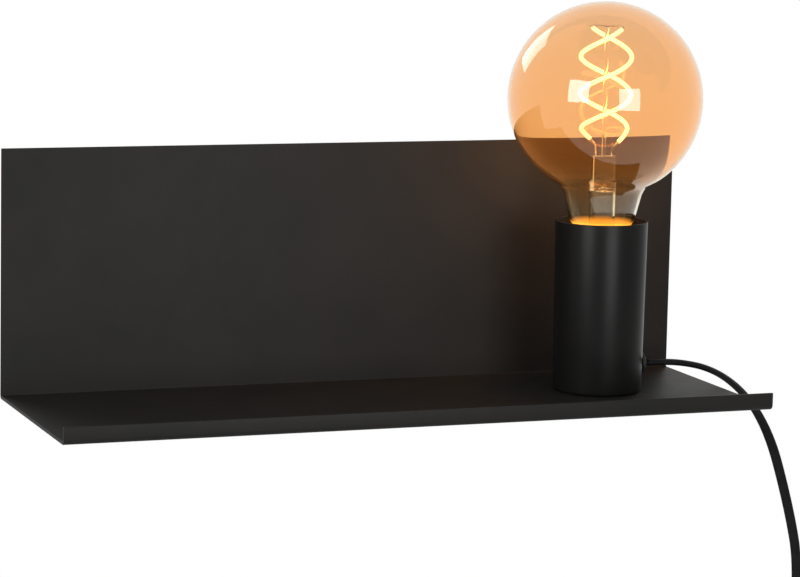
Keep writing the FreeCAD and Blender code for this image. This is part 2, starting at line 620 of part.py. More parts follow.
def make_gland():
    """The bush that holds the cord in the cup's wall, and the ring nut inside."""
    taper = "(sizes.cup_top - sizes.cup_foot) / 2"
    wall_at = f"(sizes.cup_foot / 2 + {taper} * sizes.gland_height / sizes.cup_height)"
    seat = f"({wall_at} + sizes.gland_seat)"
    where = (HOLDER_X, HOLDER_Y, f"{SHELF_TOP} + sizes.gland_height")
    bore, neck = "sizes.cord_wide / 2", "sizes.gland_hole / 2 - sizes.slack"
    inner = f"({wall_at} - sizes.cup_wall - sizes.gland_nut_seat)"
    flange, bevel = "sizes.gland_flange / 2", "sizes.gland_bevel"
    outline = [(bore, f"{inner} - sizes.gland_inner"), (neck, f"{inner} - sizes.gland_inner"), (neck, seat),
               (flange, seat), (flange, f"{seat} + sizes.gland_flange_high"),
               (f"{flange} - {bevel}", f"{seat} + sizes.gland_flange_high + {bevel}"),
               ("sizes.gland_nose / 2", f"{seat} + sizes.gland_nose_high"), (bore, f"{seat} + sizes.gland_nose_high")]
    turned("cord_gland", outline, where, Vector(0, 1, 0), 90)
    hole, rim, back = "sizes.gland_hole / 2", "sizes.gland_nut / 2", f"{inner} - sizes.gland_nut_high"
    turned("gland_nut", [(hole, back), (rim, back), (rim, inner), (hole, inner)], where, Vector(0, 1, 0), 90)


def holder_axis_point(x, y, z):
    return Vector(size(HOLDER_X) + x, size(HOLDER_Y) + y, size(SHELF_TOP) + z)


def make_inner_wiring():
    """The sheathed cord inside the cup, up through the nipple, and its two cores to the terminals."""
    height, wide = size("sizes.gland_height"), size("sizes.cord_wide")
    split = size(f"{BRIDGE_TOP} + sizes.dome_neck_high + sizes.core_rise")
    inside_wall = size("sizes.cup_foot / 2") - 1.5 * wide
    outside = [cord_point(DROP_ROUTE[0]), holder_axis_point(inside_wall, 0, height),
               holder_axis_point(0, 0, height - size("sizes.cord_dip")), holder_axis_point(0, 0, split)]
    feature("inner_cord", tube(route_edges(outside, "inner cord"), wide, "inner_cord"))
    tab_under = size(f"{CORE_FLOOR} - sizes.tab_thick")
    out, core = size("sizes.terminal_out"), size("sizes.core_wire")
    middle = size("sizes.core_apart") / 2
    for label, side in (("live_core", -1), ("neutral_core", 1)):
        points = [holder_axis_point(side * middle, 0, split), holder_axis_point(side * middle, 0, split + 1.5 * core),
                  holder_axis_point(side * (out - 1.5 * core), 2 * core, split + 3 * core),
                  holder_axis_point(side * (out - core / 2), 2 * core, tab_under)]
        feature(label, tube(route_edges(points, label), core, label))


# ---------------------------------------------------------------- bulb

def glass_solid(inset, foot):
    """The bulb's shape, drawn inset from the outside: globe, hollow shoulder, sloping neck, spun about Z."""
    globe = size("sizes.bulb_wide / 2") - inset
    shoulder = size("sizes.shoulder_round") + inset
    centre = Vector(0, 0, size("sizes.bulb_centre"))
    slope = math.radians(size("sizes.neck_slope"))
    up_neck = Vector(math.cos(slope), 0, math.sin(slope))
    off_neck = Vector(math.sin(slope), 0, -math.cos(slope))
    knee = Vector(size("sizes.neck_wide / 2"), 0, size("sizes.neck_at")) - off_neck * inset
    # the shoulder's hub lies one radius outside the neck line and touches the globe from outside
    base = knee + off_neck * shoulder - centre
    half = base.dot(up_neck)
    travel = -half - math.sqrt(half * half - base.dot(base) + (globe + shoulder) ** 2)
    hub = centre + base + up_neck * travel
    neck_end = knee + up_neck * travel
    touch = centre + (hub - centre).normalize() * globe
    shoulder_middle = hub + ((neck_end - hub).normalize() + (touch - hub).normalize()).normalize() * shoulder
    pole = centre + Vector(0, 0, globe)
    globe_middle = centre + Vector(globe, 0, 0)
    low = Vector(size(NECK_END) - inset, 0, foot)
    cap_rim = Vector(low.x, 0, size("sizes.cap_tip + sizes.cap_high + 2 * sizes.glass_play"))
    edges = [Part.LineSegment(Vector(0, 0, foot), low), Part.LineSegment(low, cap_rim),
             Part.LineSegment(cap_rim, knee), Part.LineSegment(knee, neck_end),
             Part.Arc(neck_end, shoulder_middle, touch), Part.Arc(touch, globe_middle, pole),
             Part.LineSegment(pole, Vector(0, 0, foot))]
    outline = Part.Face(Part.Wire([edge.toShape() for edge in edges]))
    return outline.revolve(Vector(0, 0, 0), Vector(0, 0, 1), 360)


def make_glass():
    """The blown globe: its neck is open below, where the cap grips it and the stem's flare closes it."""
    foot, wall = size(GLASS_FOOT), size("sizes.glass_wall")
    outside = glass_solid(0, foot)
    inside = glass_solid(wall, foot - wall)
    feature("bulb_glass", outside.cut(inside), HOLDER_FOOT)


def make_cap():
    """Threaded cap, its black insulator and the solder button on the screw's axis."""
    tip = size("sizes.cap_tip")
    low, high = tip + size("sizes.thread_start"), tip + size("sizes.cap_high")
    wide = size("sizes.thread_mean")
    bore = wide - 2 * size("sizes.shell_sheet")
    feature("bulb_cap", helix_column(wide, low, high).cut(helix_column(bore, low, high)), HOLDER_FOOT)
    cone, button = "sizes.cap_cone / 2", "sizes.cap_button / 2"
    bevel, inner = "sizes.cap_tip + sizes.cone_start", "sizes.cap_tip + sizes.button_high"
    rim = "sizes.cap_tip + sizes.thread_start"
    turned("cap_insulator", [(button, bevel), (cone, "sizes.cap_tip + sizes.cone_high"),
                             ("sizes.thread_mean / 2 - sizes.shell_sheet", rim), ("0", rim), ("0", inner),
                             (button, inner)])
    turned("cap_contact", [("0", "sizes.cap_tip"), (f"{button} - sizes.button_bevel", "sizes.cap_tip"),
                           (button, bevel), (button, inner), ("0", inner)])


def make_driver():
    """The small circuit board that stands in the cap, with its capacitor and bridge chip."""
    board = body("driver_board", HOLDER_FOOT)
    wide, high, thick = "sizes.board_wide", "sizes.board_high", "sizes.board_thick"
    low = "(sizes.cap_tip + sizes.thread_start)"
    pad(board, oblong(sketch(board), wide, high, ("0", f"{low} + {high} / 2")), thick, symmetric=True)
    chip = oblong(sketch(board), f"0.4 * {wide}", f"0.3 * {high}", (f"-{wide} / 6", f"{low} + 0.3 * {high}"))
    pad(board, chip, f"4 * {thick}", symmetric=True)
    capacitor = circles(sketch(board), [(f"{wide} / 4", f"{low} + 0.6 * {high}")], f"0.4 * {high}")
    pad(board, capacitor, f"7 * {thick}", symmetric=True)


def make_stem():
    """The glass stem: flare that closes the neck, tube, flattened press and the thin rod above it."""
    stem = body("bulb_stem", HOLDER_FOOT)
    wall, top = "sizes.glass_wall", "sizes.stem_top"
    flare = f"({NECK_END} - {wall})"
    outer, inner = "sizes.stem_wide / 2", f"(sizes.stem_wide / 2 - {wall})"
    outline = [(flare, GLASS_FOOT), (f"{flare} - {wall} / 2", f"{GLASS_FOOT} + 1.5 * {wall}"),
               (outer, f"{GLASS_FOOT} + {outer}"), (outer, top), ("0", top), ("0", f"{top} - 2 * {wall}"),
               (inner, f"{top} - 4 * {wall}"), (inner, f"{GLASS_FOOT} + {outer} - {wall}"),
               (f"{flare} - 1.5 * {wall}", GLASS_FOOT)]
    revolve(stem, polygon(sketch(stem), outline))
    press = sketch(stem, "XY_Plane", top)
    pad(stem, oblong(press, "sizes.press_wide", "sizes.press_thick"), "sizes.press_high")
    dress(stem, "Fillet", "sizes.press_thick / 3", along(Vector(0, 0, 1)))
    rod = circles(sketch(stem, "XY_Plane", top), [("0", "0")], "sizes.rod_wide")
    pad(stem, rod, f"sizes.rod_top - {top}")


def strand_stations(half_turn):
    """Points and directions along one flexible strand, a quarter turn apart, drawn in at both ends."""
    low, high = size("sizes.strand_low"), size("sizes.strand_high")
    turns = size("sizes.strand_turns")
    quarters = round(turns * QUARTERS)
    sweep = 2 * math.pi * turns
    first = math.radians(size("sizes.strand_phase")) + half_turn
    stations = []
    for n in range(quarters + 1):
        share = n / quarters
        reach = size("sizes.coil_reach") * (size("sizes.strand_draw_in") if n in (0, quarters) else 1)
        angle = first - sweep * share
        spot = Vector(reach * math.cos(angle), reach * math.sin(angle), high - (high - low) * share)
        way = Vector(reach * math.sin(angle) * sweep, -reach * math.cos(angle) * sweep, -(high - low))
        stations.append((spot, way.normalize()))
    return stations


def make_filament():
    """Two glowing strands wound round the stem, the wire across their tops and the two leads below."""
    ends = []
    for label, half_turn in (("filament_front", 0), ("filament_rear", math.pi)):
        stations = strand_stations(half_turn)
        edges = wound_edges(stations)
        least_gap(edges, size("sizes.strand"), label, step=1, skip=6)
        feature(label, tube(edges, size("sizes.strand"), label), HOLDER_FOOT)
        ends.append((stations[0], stations[-1]))
    wire = size("sizes.fine_wire")
    (top_a, way_a), (top_b, way_b) = ends[0][0], ends[1][0]
    rod_top = size("sizes.rod_top")
    over = Vector(0, 0, rod_top + wire / 2)
    across = (top_a - top_b).normalize() * size("sizes.wire_bar")
    bite, straight = size("sizes.wire_bite"), size("sizes.wire_straight")
    bar = [top_b - way_b * bite, top_b - way_b * straight, over - across, over + across, top_a - way_a * straight,
           top_a - way_a * bite]
    feature("top_wire", wire_run(bar, wire), HOLDER_FOOT)
    press_top = size("sizes.stem_top + sizes.press_high")
    leads = []
    for start, (foot, way) in ends:
        inward = Vector(foot.x, foot.y, 0).normalize()
        beside = math.copysign(size("sizes.lead_apart") / 2, foot.x)
        knee = foot + way * straight
        run = [foot + way * bite, knee, knee - inward * straight - Vector(0, 0, straight),
               Vector(beside, 0, press_top + straight), Vector(beside, 0, press_top)]
        leads.append(wire_run(run, wire))
    feature("lead_wires", Part.Compound(leads), HOLDER_FOOT)


def wire_run(points, width):
    return tube(route_edges(points, "fine wire"), width, "fine wire")


# ---------------------------------------------------------------- cord, coil, switch and plug

def cord_point(spot, out=0):
    """A point of the cord's route, which hangs from the shelf's right end."""
    across, up = spot
    return Vector(size("sizes.shelf_width") / 2 + across, size(HOLDER_Y) + out, size(SHELF_TOP) + up)


COIL_STRETCHES = (7, 7, 7, 5)
CLIMB_QUARTERS = 2
COIL_TURN = math.pi / 2


def coil_stations(start, heading):
    """Quarter-turn stations of the tied coil, seen from the front: in, climb, out, climb, in, climb, out."""
    step = size("sizes.coil_step")
    swing = COIL_STRETCHES[0] * step / QUARTERS
    radius = size("sizes.coil_middle") / 2 + swing / 2
    angle = math.atan2(heading.z, heading.x) - COIL_TURN
    centre = start - Vector(math.cos(angle), 0, math.sin(angle)) * radius
    stations, out = [(start, heading)], 0
    for layer, quarters in enumerate(COIL_STRETCHES):
        change = -step / QUARTERS if layer % 2 == 0 else step / QUARTERS
        legs = [(change, 0)] * quarters
        if layer < len(COIL_STRETCHES) - 1:
            legs += [(0, step / CLIMB_QUARTERS)] * CLIMB_QUARTERS
        for n, (grow, climb) in enumerate(legs):
            angle += COIL_TURN
            radius += grow
            out += climb
            spot = centre + Vector(radius * math.cos(angle), out, radius * math.sin(angle))
            rise = step / math.pi / radius if climb and n < len(legs) - 1 else 0
            way = Vector(-math.sin(angle), rise, math.cos(angle))
            stations.append((spot, way.normalize()))
    return stations, centre


def make_cord():
    """The free cord: down from the gland, through the switch, round the tied coil and on to the plug."""
    wide = size("sizes.cord_wide")
    drop = [cord_point(spot) for spot in DROP_ROUTE]
    link = [cord_point(spot) for spot in LINK_ROUTE]
    feature("cord_drop", tube(route_edges(drop, "cord_drop"), wide, "cord_drop"))
    feature("cord_link", tube(route_edges(link, "cord_link"), wide, "cord_link"))
    heading = (link[-1] - link[-2]).normalize()
    begin = link[-1] + heading * wide
    stations, centre = coil_stations(begin, heading)
    leave, way = stations[-1]
    done = leave + way * wide
    turns = wound_edges(stations)
    least_gap(turns, wide, "cord_coil")
    print(f"coil: {sum(edge.Length for edge in turns):.0f} long, centre {centre}, ends at {done}, heading {way}")
    lead_in = Part.LineSegment(link[-1], begin).toShape()
    lead_out = Part.LineSegment(leave, done).toShape()
    feature("cord_coil", tube([lead_in] + turns + [lead_out], wide, "cord_coil"))
    out = done.y - size(HOLDER_Y)
    tail = [done] + [cord_point(spot, out) for spot in TAIL_ROUTE]
    feature("cord_tail", tube(route_edges(tail, "cord_tail"), wide, "cord_tail"))
    return centre, tail[-1]


def make_tie(centre):
    """The band that holds the coil's turns together at its lowest point."""
    wide, step = size("sizes.cord_wide"), size("sizes.coil_step")
    band, skin = size("sizes.tie_band"), size("sizes.tie_sheet")
    swing = COIL_STRETCHES[0] * step / QUARTERS
    clear = wide / 2 + size("sizes.tie_play")
    climbs = len(COIL_STRETCHES) - 1
    high, deep = swing + step / 2 + 2 * clear, climbs * step + 2 * clear
    middle = centre + Vector(0, climbs * step / 2, -size("sizes.coil_middle") / 2 - step / 8)

    def block(long, extra):
        corner = middle - Vector(long / 2, deep / 2 + extra, high / 2 + extra)
        box = Part.makeBox(long, deep + 2 * extra, high + 2 * extra, corner)
        return box.makeFillet(wide / 2, [edge for edge in box.Edges if abs(edge.BoundBox.XLength - long) < NEAR])

    feature("coil_tie", block(band, skin).cut(block(2 * band, 0)))


def switch_place():
    """The middle of the switch, where the first cord ends and half its length below."""
    across, up = DROP_ROUTE[-1]
    return f"(sizes.shelf_width / 2 + {across})", HOLDER_Y, f"({SHELF_TOP} + {up} - sizes.switch_long / 2)"


def make_switch_halves():
    """The in-line switch's two half shells, with screw bosses, ears for the rocker's pin and its window."""
    wall, seam = "sizes.switch_wall", "(sizes.switch_thick / 2 - sizes.switch_split)"
    rim = {"switch_front": ("-sizes.switch_thick / 2", True), "switch_back": ("sizes.switch_thick / 2", False)}
    for label, (face, is_front) in rim.items():
        half = body(label, switch_place())
        depth = f"abs({seam} - ({face}))"
        pad(half, switch_outline(sketch(half, "XZ_Plane", f"-{seam}"), "0"), depth, reverse=not is_front)
        dress(half, "Fillet", "sizes.switch_round", outer_rim(size(face)))
        hollow = switch_outline(sketch(half, "XZ_Plane", f"-{seam}"), wall)
        pocket(half, hollow, f"{depth} - {wall}", reverse=is_front)
        bosses = circles(sketch(half, "XZ_Plane", f"-{seam}"), boss_spots(), "sizes.boss_wide")
        pad(half, bosses, f"{depth} - {wall} / 2", reverse=not is_front)
        if is_front:
            ears = oblong(sketch(half, "YZ_Plane"), "sizes.ear_thick", "sizes.ear_high",
                          (f"{PIN_OUT} + 4 * sizes.slack", "0"))
            pad(half, ears, "sizes.rocker_wide + 2 * sizes.ear_reach", symmetric=True)
            opening = oblong(sketch(half, "XZ_Plane"), "sizes.rocker_wide + 2 * sizes.rocker_play",
                             "sizes.rocker_long + 2 * sizes.rocker_play")
            pocket(half, opening, "sizes.switch_thick", reverse=True)
            pivot = circles(sketch(half, "YZ_Plane"), [(PIN_OUT, "0")], "sizes.rocker_pin + sizes.slack")
            pocket(half, pivot, "sizes.switch_wide - 2 * sizes.switch_wall", symmetric=True)
            pilot = circles(sketch(half, "XZ_Plane", f"-{seam}"), boss_spots(), "sizes.case_screw + sizes.tap_play")
            pocket(half, pilot, f"{depth} - 2 * {wall}", reverse=True)
        else:
            loose = "sizes.case_screw + sizes.case_play"
            through = circles(sketch(half, "XZ_Plane", f"-{seam}"), boss_spots(), loose)
            pocket(half, through, "sizes.switch_thick")
            sink = circles(sketch(half, "XZ_Plane", f"-({face})"), boss_spots(), "sizes.case_head + sizes.head_play")
            pocket(half, sink, "sizes.case_head_high + 2 * sizes.slack", reverse=True)
        entry = circles(sketch(half, "XY_Plane"), [("0", "0")], "sizes.cord_wide + sizes.entry_play")
        pocket(half, entry, "1.1 * sizes.switch_long", symmetric=True)


def boss_spots():
    """The case screws, at two opposite corners."""
    return [("-sizes.boss_across", "sizes.boss_up"), ("sizes.boss_across", "-sizes.boss_up")]


def make_switch_screws():
    head_floor = "(sizes.switch_thick / 2 - sizes.case_head_high)"
    screws = []
    for across, up in boss_spots():
        x, y, z = [f"{at} + {more}" for at, more in zip(switch_place(), (across, head_floor, up))]
        shank = cylinder("sizes.case_screw", "sizes.case_screw_long", (x, y, z), Vector(1, 0, 0), 90)
        head = cylinder("sizes.case_head", "sizes.case_head_high", (x, f"{y} + sizes.case_head_high", z),
                        Vector(1, 0, 0), 90)
        screws.append(fused(head, shank))
    group_of("switch_screws", screws)


def tilted_place():
    """The rocker's pieces are drawn about the pin and stand tilted at rest, with the lower end pressed in."""
    across, out, up = switch_place()
    return (across, f"{out} + {PIN_OUT}", up), Vector(1, 0, 0), size("sizes.rocker_tilt")


def make_rocker():
    """The rocker, dished along its front, with the bronze blade that it carries underneath, and its pin."""
    reach, front, keel = "sizes.rocker_long / 2", "sizes.rocker_front", "sizes.rocker_keel"
    end, foot = f"({reach} - sizes.rocker_end)", f"({reach} - sizes.rocker_end / 2)"
    rocker = body("switch_rocker", *tilted_place())
    outline = [(f"-{front}", end), (f"-({front} - sizes.rocker_dish)", "0"), (f"-{front}", f"-{end}"),
               ("0", f"-{reach}"), (keel, f"-{foot}"), (keel, foot), ("0", reach)]
    pad(rocker, polygon(sketch(rocker, "YZ_Plane"), outline), "sizes.rocker_wide", symmetric=True)
    pocket(rocker, circles(sketch(rocker, "YZ_Plane"), [("0", "0")], "sizes.rocker_pin + 2 * sizes.slack"),
           "1.1 * sizes.rocker_wide", symmetric=True)
    dished = -size(f"{front} - sizes.rocker_dish - sizes.slack")
    dress(rocker, "Fillet", "sizes.rocker_round", lambda edge: edge.BoundBox.YMax < dished)
    blade = body("contact_blade", *tilted_place())
    half, under = "sizes.blade_long / 2", f"{keel} + sizes.blade_thick"
    strip = [(keel, f"-{half}"), (under, f"-{half}"), (under, half), (keel, half)]
    pad(blade, polygon(sketch(blade, "YZ_Plane"), strip), "sizes.blade_wide", symmetric=True)
    across, out, up = switch_place()
    pin_long = "(sizes.rocker_wide + 2 * sizes.ear_reach)"
    keep(cylinder("sizes.rocker_pin", pin_long, (f"{across} - {pin_long} / 2", f"{out} + {PIN_OUT}", up),
                  Vector(0, 1, 0), 90), "rocker_pin")


def make_switch_inside():
    """Two brass terminals on the back half's floor, and the cores: one whole, one cut and led to them."""
    floor, tongue = size("sizes.switch_thick / 2 - sizes.switch_wall"), size(f"{PIN_OUT} + sizes.tongue_out")
    centre = Vector(*(size(text) for text in switch_place()))
    start, step = size("sizes.terminal_start"), size("sizes.tongue_step")
    top, thick, wide = start + size("sizes.terminal_high"), size("sizes.tongue_thick"), size("sizes.terminal_thick")
    corners = [(tongue, start), (tongue + thick, start), (tongue + thick, start + step), (floor, start + step),
               (floor, top), (tongue, top)]
    blocks = []
    for sign in BOTH_SIDES:
        wire = [Vector(0, deep, sign * high) for deep, high in corners]
        block = Part.Face(Part.makePolygon(wire + wire[:1])).extrude(Vector(wide, 0, 0))
        block.translate(centre - Vector(wide / 2, 0, 0))
        blocks.append(block)
    feature("switch_terminals", Part.Compound(blocks))
    half_long, core = size("sizes.switch_long / 2"), size("sizes.core_wire")
    beside, bend = size("sizes.core_apart / 2") + size("sizes.slack") * 2, 2 * core
    aside = Vector(2 * core, 0.7 * core, 0)
    whole = [Vector(beside, 0, half_long), Vector(beside, 0, half_long - bend),
             aside + Vector(0, 0, half_long - 2.5 * bend), aside - Vector(0, 0, half_long - 2.5 * bend),
             Vector(beside, 0, bend - half_long), Vector(beside, 0, -half_long)]
    routes = [whole]
    for sign in BOTH_SIDES:
        inward = Vector(-beside / 2, core / 4, 0)
        routes.append([Vector(-beside, 0, sign * half_long), Vector(-beside, 0, sign * (half_long - bend)),
                       inward + Vector(0, 0, sign * (half_long - 2 * bend)), inward + Vector(0, 0, sign * top)])
    cores = [tube(route_edges([centre + spot for spot in route], "switch core"), core, "switch core")
             for route in routes]
    feature("switch_cores", Part.Compound(cores))


def switch_outline(drawing, inset):
    """A long block drawn in at both ends, where the cord goes in."""
    half_long, half_wide = f"(sizes.switch_long / 2 - {inset})", f"(sizes.switch_wide / 2 - {inset})"
    neck, shoulder = f"(sizes.cord_wide + sizes.cord_shell - {inset} / 2)", f"({half_long} - sizes.switch_taper)"
    return polygon(drawing, [(f"-{neck}", f"-{half_long}"), (neck, f"-{half_long}"), (half_wide, f"-{shoulder}"),
                             (half_wide, shoulder), (neck, half_long), (f"-{neck}", half_long),
                             (f"-{half_wide}", shoulder), (f"-{half_wide}", f"-{shoulder}")])


def outer_rim(out):
    """Picks the edges that lie flat in the plane Y = out."""
    def wanted(edge):
        box = edge.BoundBox
        return box.YLength < NEAR and abs(box.YMin - out) < NEAR
    return wanted


def make_plug(cord_end):
    """The moulded two-pin plug, narrow along X, with its pins and their sleeves pointing down."""
    where = tuple(str(round(number, 3)) for number in cord_end)
    plug = body("plug_body", where)
    long, half, thick = "sizes.plug_long", "sizes.plug_wide / 2", "sizes.plug_thick"
    neck, grown = "sizes.plug_neck / 2", "(sizes.plug_neck / 2 + sizes.plug_neck_grow)"
    down, shoulder = "-sizes.plug_neck_long", "-sizes.plug_shoulder"
    outline = [(f"-{neck}", "0"), (neck, "0"), (grown, down), (half, shoulder), (half, f"-{long}"),
               (f"-{half}", f"-{long}"), (f"-{half}", shoulder), (f"-{grown}", down)]
    pad(plug, polygon(sketch(plug, "YZ_Plane"), outline), thick, symmetric=True)
    for sign in BOTH_SIDES:
        wedge = [(f"{sign} * {neck}", "sizes.slack"), (f"{sign} * {thick}", "sizes.slack"),
                 (f"{sign} * {thick}", shoulder), (f"{sign} * {thick} / 2", shoulder)]
        pocket(plug, polygon(sketch(plug), wedge), "2 * sizes.plug_wide", symmetric=True)
    pins, sleeves = [], []
    for sign in BOTH_SIDES:
        x, y, base = where[0], f"{where[1]} + {sign} * sizes.pin_gap / 2", f"{where[2]} - {long}"
        tip, collar = f"{base} - sizes.pin_long", f"{base} - sizes.sleeve_long"
        bare = cylinder("sizes.pin_wide", "sizes.pin_long - sizes.sleeve_long", (x, y, tip))
        pins.append(blunted(fused(bare, cylinder("sizes.pin_core", "sizes.sleeve_long", (x, y, collar))), size(tip)))
        sleeves.append(cut(cylinder("sizes.pin_wide", "sizes.sleeve_long", (x, y, collar)),
                           cylinder("sizes.pin_core", "sizes.sleeve_long", (x, y, collar))))
    group_of("plug_pins", pins)
    group_of("pin_sleeves", sleeves)


def blunted(pin, tip):
    """Bevels a pin's free end."""
    new = doc.addObject("Part::Chamfer", "blunt_pin")
    new.Base = pin
    doc.recompute()
    bevel = size("sizes.pin_bevel")
    new.Edges = [(n, bevel, bevel) for n, edge in enumerate(pin.Shape.Edges, start=1)
                 if abs(edge.BoundBox.ZMax - tip) < NEAR]
    return new


# ---------------------------------------------------------------- build, test and write

def export_all():
    doc.recompute()
    for thing in doc.Objects:
        if "Invalid" in thing.State or "Error" in thing.State:
            raise RuntimeError(f"{thing.Name} failed: {thing.State}")
    os.makedirs("parts", exist_ok=True)
    for part in parts:
        if part.Shape.isNull() or not part.Shape.isValid():
            raise RuntimeError(f"{part.Label} has no valid shape")
        part.Shape.exportStep(f"parts/{part.Label}.step")
    print(f"{len(parts)} sub-parts written")


make_wall_rail()
make_hanger()
make_shelf_sheet()
make_bumpers()
make_cup()
make_bridge()
make_foot_screws()
make_nipple()
make_nut_and_washer()
make_lampholder()
make_screw_shell()
make_contacts()
make_terminals()
make_gland()
make_inner_wiring()
make_glass()
make_stem()
make_filament()
make_cap()
make_driver()
coil_centre, cord_end = make_cord()
make_tie(coil_centre)
make_switch_halves()
make_switch_screws()
make_rocker()
make_switch_inside()
make_plug(cord_end)
export_all()
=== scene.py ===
# %% [markdown]
# # A wall lamp with a shelf, dressed for its portrait
#
# The CAD part brings every rigid piece at its true size and place. This lesson dresses it: it takes
# the photograph's viewpoint, runs the flat cord, models the pieces that need softer or finer forms
# than a solid gives, and mixes a finish for each material. Lengths are in metres: X runs along the
# shelf, Y goes into the wall, Z is up, and the origin is midway between the two wall screws.

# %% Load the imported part
import bmesh
import bpy
import json
import math
from mathutils import Matrix, Vector


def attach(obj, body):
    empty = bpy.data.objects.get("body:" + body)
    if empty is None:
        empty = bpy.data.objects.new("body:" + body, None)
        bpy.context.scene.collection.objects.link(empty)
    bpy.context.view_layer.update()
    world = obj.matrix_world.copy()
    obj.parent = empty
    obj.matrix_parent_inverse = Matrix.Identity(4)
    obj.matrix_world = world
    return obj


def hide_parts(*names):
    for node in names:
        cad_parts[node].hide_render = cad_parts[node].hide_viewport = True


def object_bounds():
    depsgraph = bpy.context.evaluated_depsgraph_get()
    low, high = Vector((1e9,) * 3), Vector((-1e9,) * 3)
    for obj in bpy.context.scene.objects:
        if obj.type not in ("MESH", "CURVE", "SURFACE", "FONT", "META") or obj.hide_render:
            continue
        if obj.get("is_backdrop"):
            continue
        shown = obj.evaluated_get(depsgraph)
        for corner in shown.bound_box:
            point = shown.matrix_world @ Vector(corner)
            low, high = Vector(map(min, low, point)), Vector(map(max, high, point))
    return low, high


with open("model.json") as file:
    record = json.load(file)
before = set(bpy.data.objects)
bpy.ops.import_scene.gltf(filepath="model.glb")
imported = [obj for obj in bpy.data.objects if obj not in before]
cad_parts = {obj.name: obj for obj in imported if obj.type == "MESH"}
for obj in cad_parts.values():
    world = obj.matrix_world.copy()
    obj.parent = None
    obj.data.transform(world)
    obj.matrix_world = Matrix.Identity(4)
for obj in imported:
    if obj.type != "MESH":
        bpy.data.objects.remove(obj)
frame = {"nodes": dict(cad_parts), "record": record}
cad_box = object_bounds()
nodes = frame["nodes"]
MM = 0.001
QUARTER = math.pi / 2
print(f"{len(nodes)} CAD nodes, box {[round(side / MM) for side in cad_box[1] - cad_box[0]]} mm")

# %% [markdown]
# ## The camera
#
# The photograph was taken from the left and a little above, with a long lens. The numbers below came
# from fitting a camera to the edges of the shelf and to the globe. The small shift only puts the
# picture's frame where the photographer cropped it.

# %% Stand the camera where the photographer stood
PICTURE = (800, 577)
FOCAL_PIXELS = 3141.5
CENTRE_PIXELS = (355.95, 246.55)
CAMERA_AT = Vector((-522.25, -1450.37, 198.17)) * MM
CAMERA_YAW, CAMERA_PITCH, CAMERA_ROLL = (math.radians(angle) for angle in (20.02, 7.59, 1.07))
SENSOR_WIDE = 36

eye = bpy.data.cameras.new("photograph_view")
camera = bpy.data.objects.new("photograph_view", eye)
bpy.context.scene.collection.objects.link(camera)
bpy.context.scene.camera = camera
forward = Vector((math.sin(CAMERA_YAW) * math.cos(CAMERA_PITCH),
                  math.cos(CAMERA_YAW) * math.cos(CAMERA_PITCH),
                  -math.sin(CAMERA_PITCH)))
level = Vector((math.cos(CAMERA_YAW), -math.sin(CAMERA_YAW), 0))
upright = level.cross(forward)
right = math.cos(CAMERA_ROLL) * level + math.sin(CAMERA_ROLL) * upright
above = math.cos(CAMERA_ROLL) * upright - math.sin(CAMERA_ROLL) * level
aim = Matrix((right, above, -forward)).transposed().to_4x4()
camera.matrix_world = Matrix.Translation(CAMERA_AT) @ aim
eye.sensor_width = SENSOR_WIDE
eye.lens = FOCAL_PIXELS / PICTURE[0] * SENSOR_WIDE
eye.shift_x = (PICTURE[0] / 2 - CENTRE_PIXELS[0]) / PICTURE[0]
eye.shift_y = (CENTRE_PIXELS[1] - PICTURE[1] / 2) / PICTURE[0]
print(f"lens {eye.lens:.1f} mm, shift {eye.shift_x:.3f} {eye.shift_y:.3f}")

# %% [markdown]
# ## The cord
#
# A flat two-core flex leaves the gland beside the cup, slips over the shelf's end and hangs down to an
# in-line switch. Below it the length that the photograph doesn't show is wound into a tied coil that
# ends in the plug. A round bevelled curve would be quicker, but this flex is flat and turns over as it
# hangs, so a section is carried along a smooth spline and twisted on the way.

# %% The route's points: across from the shelf's right end, and height above the shelf
SHELF_END, SHELF_TOP = 175, -73.5
CORD_Y = -60.5
CORD_WIDE = 5.2
COIL_STEP, COIL_MIDDLE = 6.7, 57
# The coil's layers, by their number of quarter turns.
COIL_STRETCHES = (7, 7, 7, 5)
TURN_POINTS = 12
DROP = [(-38.5, 12.5), (-26.4, 12.5), (-15.5, 11.3), (-3.8, 8.5), (7.6, 2.7), (18.0, -6.1),
        (27.2, -18.1), (34.6, -32.9), (40.4, -50.5), (46.4, -71.5), (51.0, -92.5), (51.0, -110.5)]
LINK = [(51.0, -172.5), (51.0, -182.5), (48.4, -192.2), (43.4, -200.8), (36.3, -207.9), (29.4, -211.9)]
TAIL = [(12.6, -225.5), (4.6, -232.9), (-0.9, -242.4), (-3.7, -253.0), (-3.7, -263.0)]


def cord_points(route, out=0):
    """The route's points as vectors in millimetres; out moves them towards the wall."""
    return [Vector((SHELF_END + across, CORD_Y + out, SHELF_TOP + up)) for across, up in route]


def coil_points(start, heading):
    """The tied coil's turns and its end: in, climb a layer, out, climb, in, climb and out."""
    steps = TURN_POINTS // 4
    swing = COIL_STRETCHES[0] * COIL_STEP / 4
    radius = COIL_MIDDLE / 2 + swing / 2
    angle = math.atan2(heading.z, heading.x) - QUARTER
    hub = start - Vector((math.cos(angle), 0, math.sin(angle))) * radius
    stands_out = 1 / math.cos(math.pi / TURN_POINTS)
    out, points = 0, []
    for layer, quarters in enumerate(COIL_STRETCHES):
        grow = (-1 if layer % 2 == 0 else 1) * COIL_STEP / 4 / steps
        legs = [(grow, 0)] * (quarters * steps)
        if layer < len(COIL_STRETCHES) - 1:
            legs += [(0, COIL_STEP / 2 / steps)] * (2 * steps)
        for wider, deeper in legs:
            angle += QUARTER / steps
            radius += wider
            out += deeper
            reach = radius * stands_out
            points.append(hub + Vector((reach * math.cos(angle), out, reach * math.sin(angle))))
    return points[:-1], hub + Vector((radius * math.cos(angle), out, radius * math.sin(angle)))


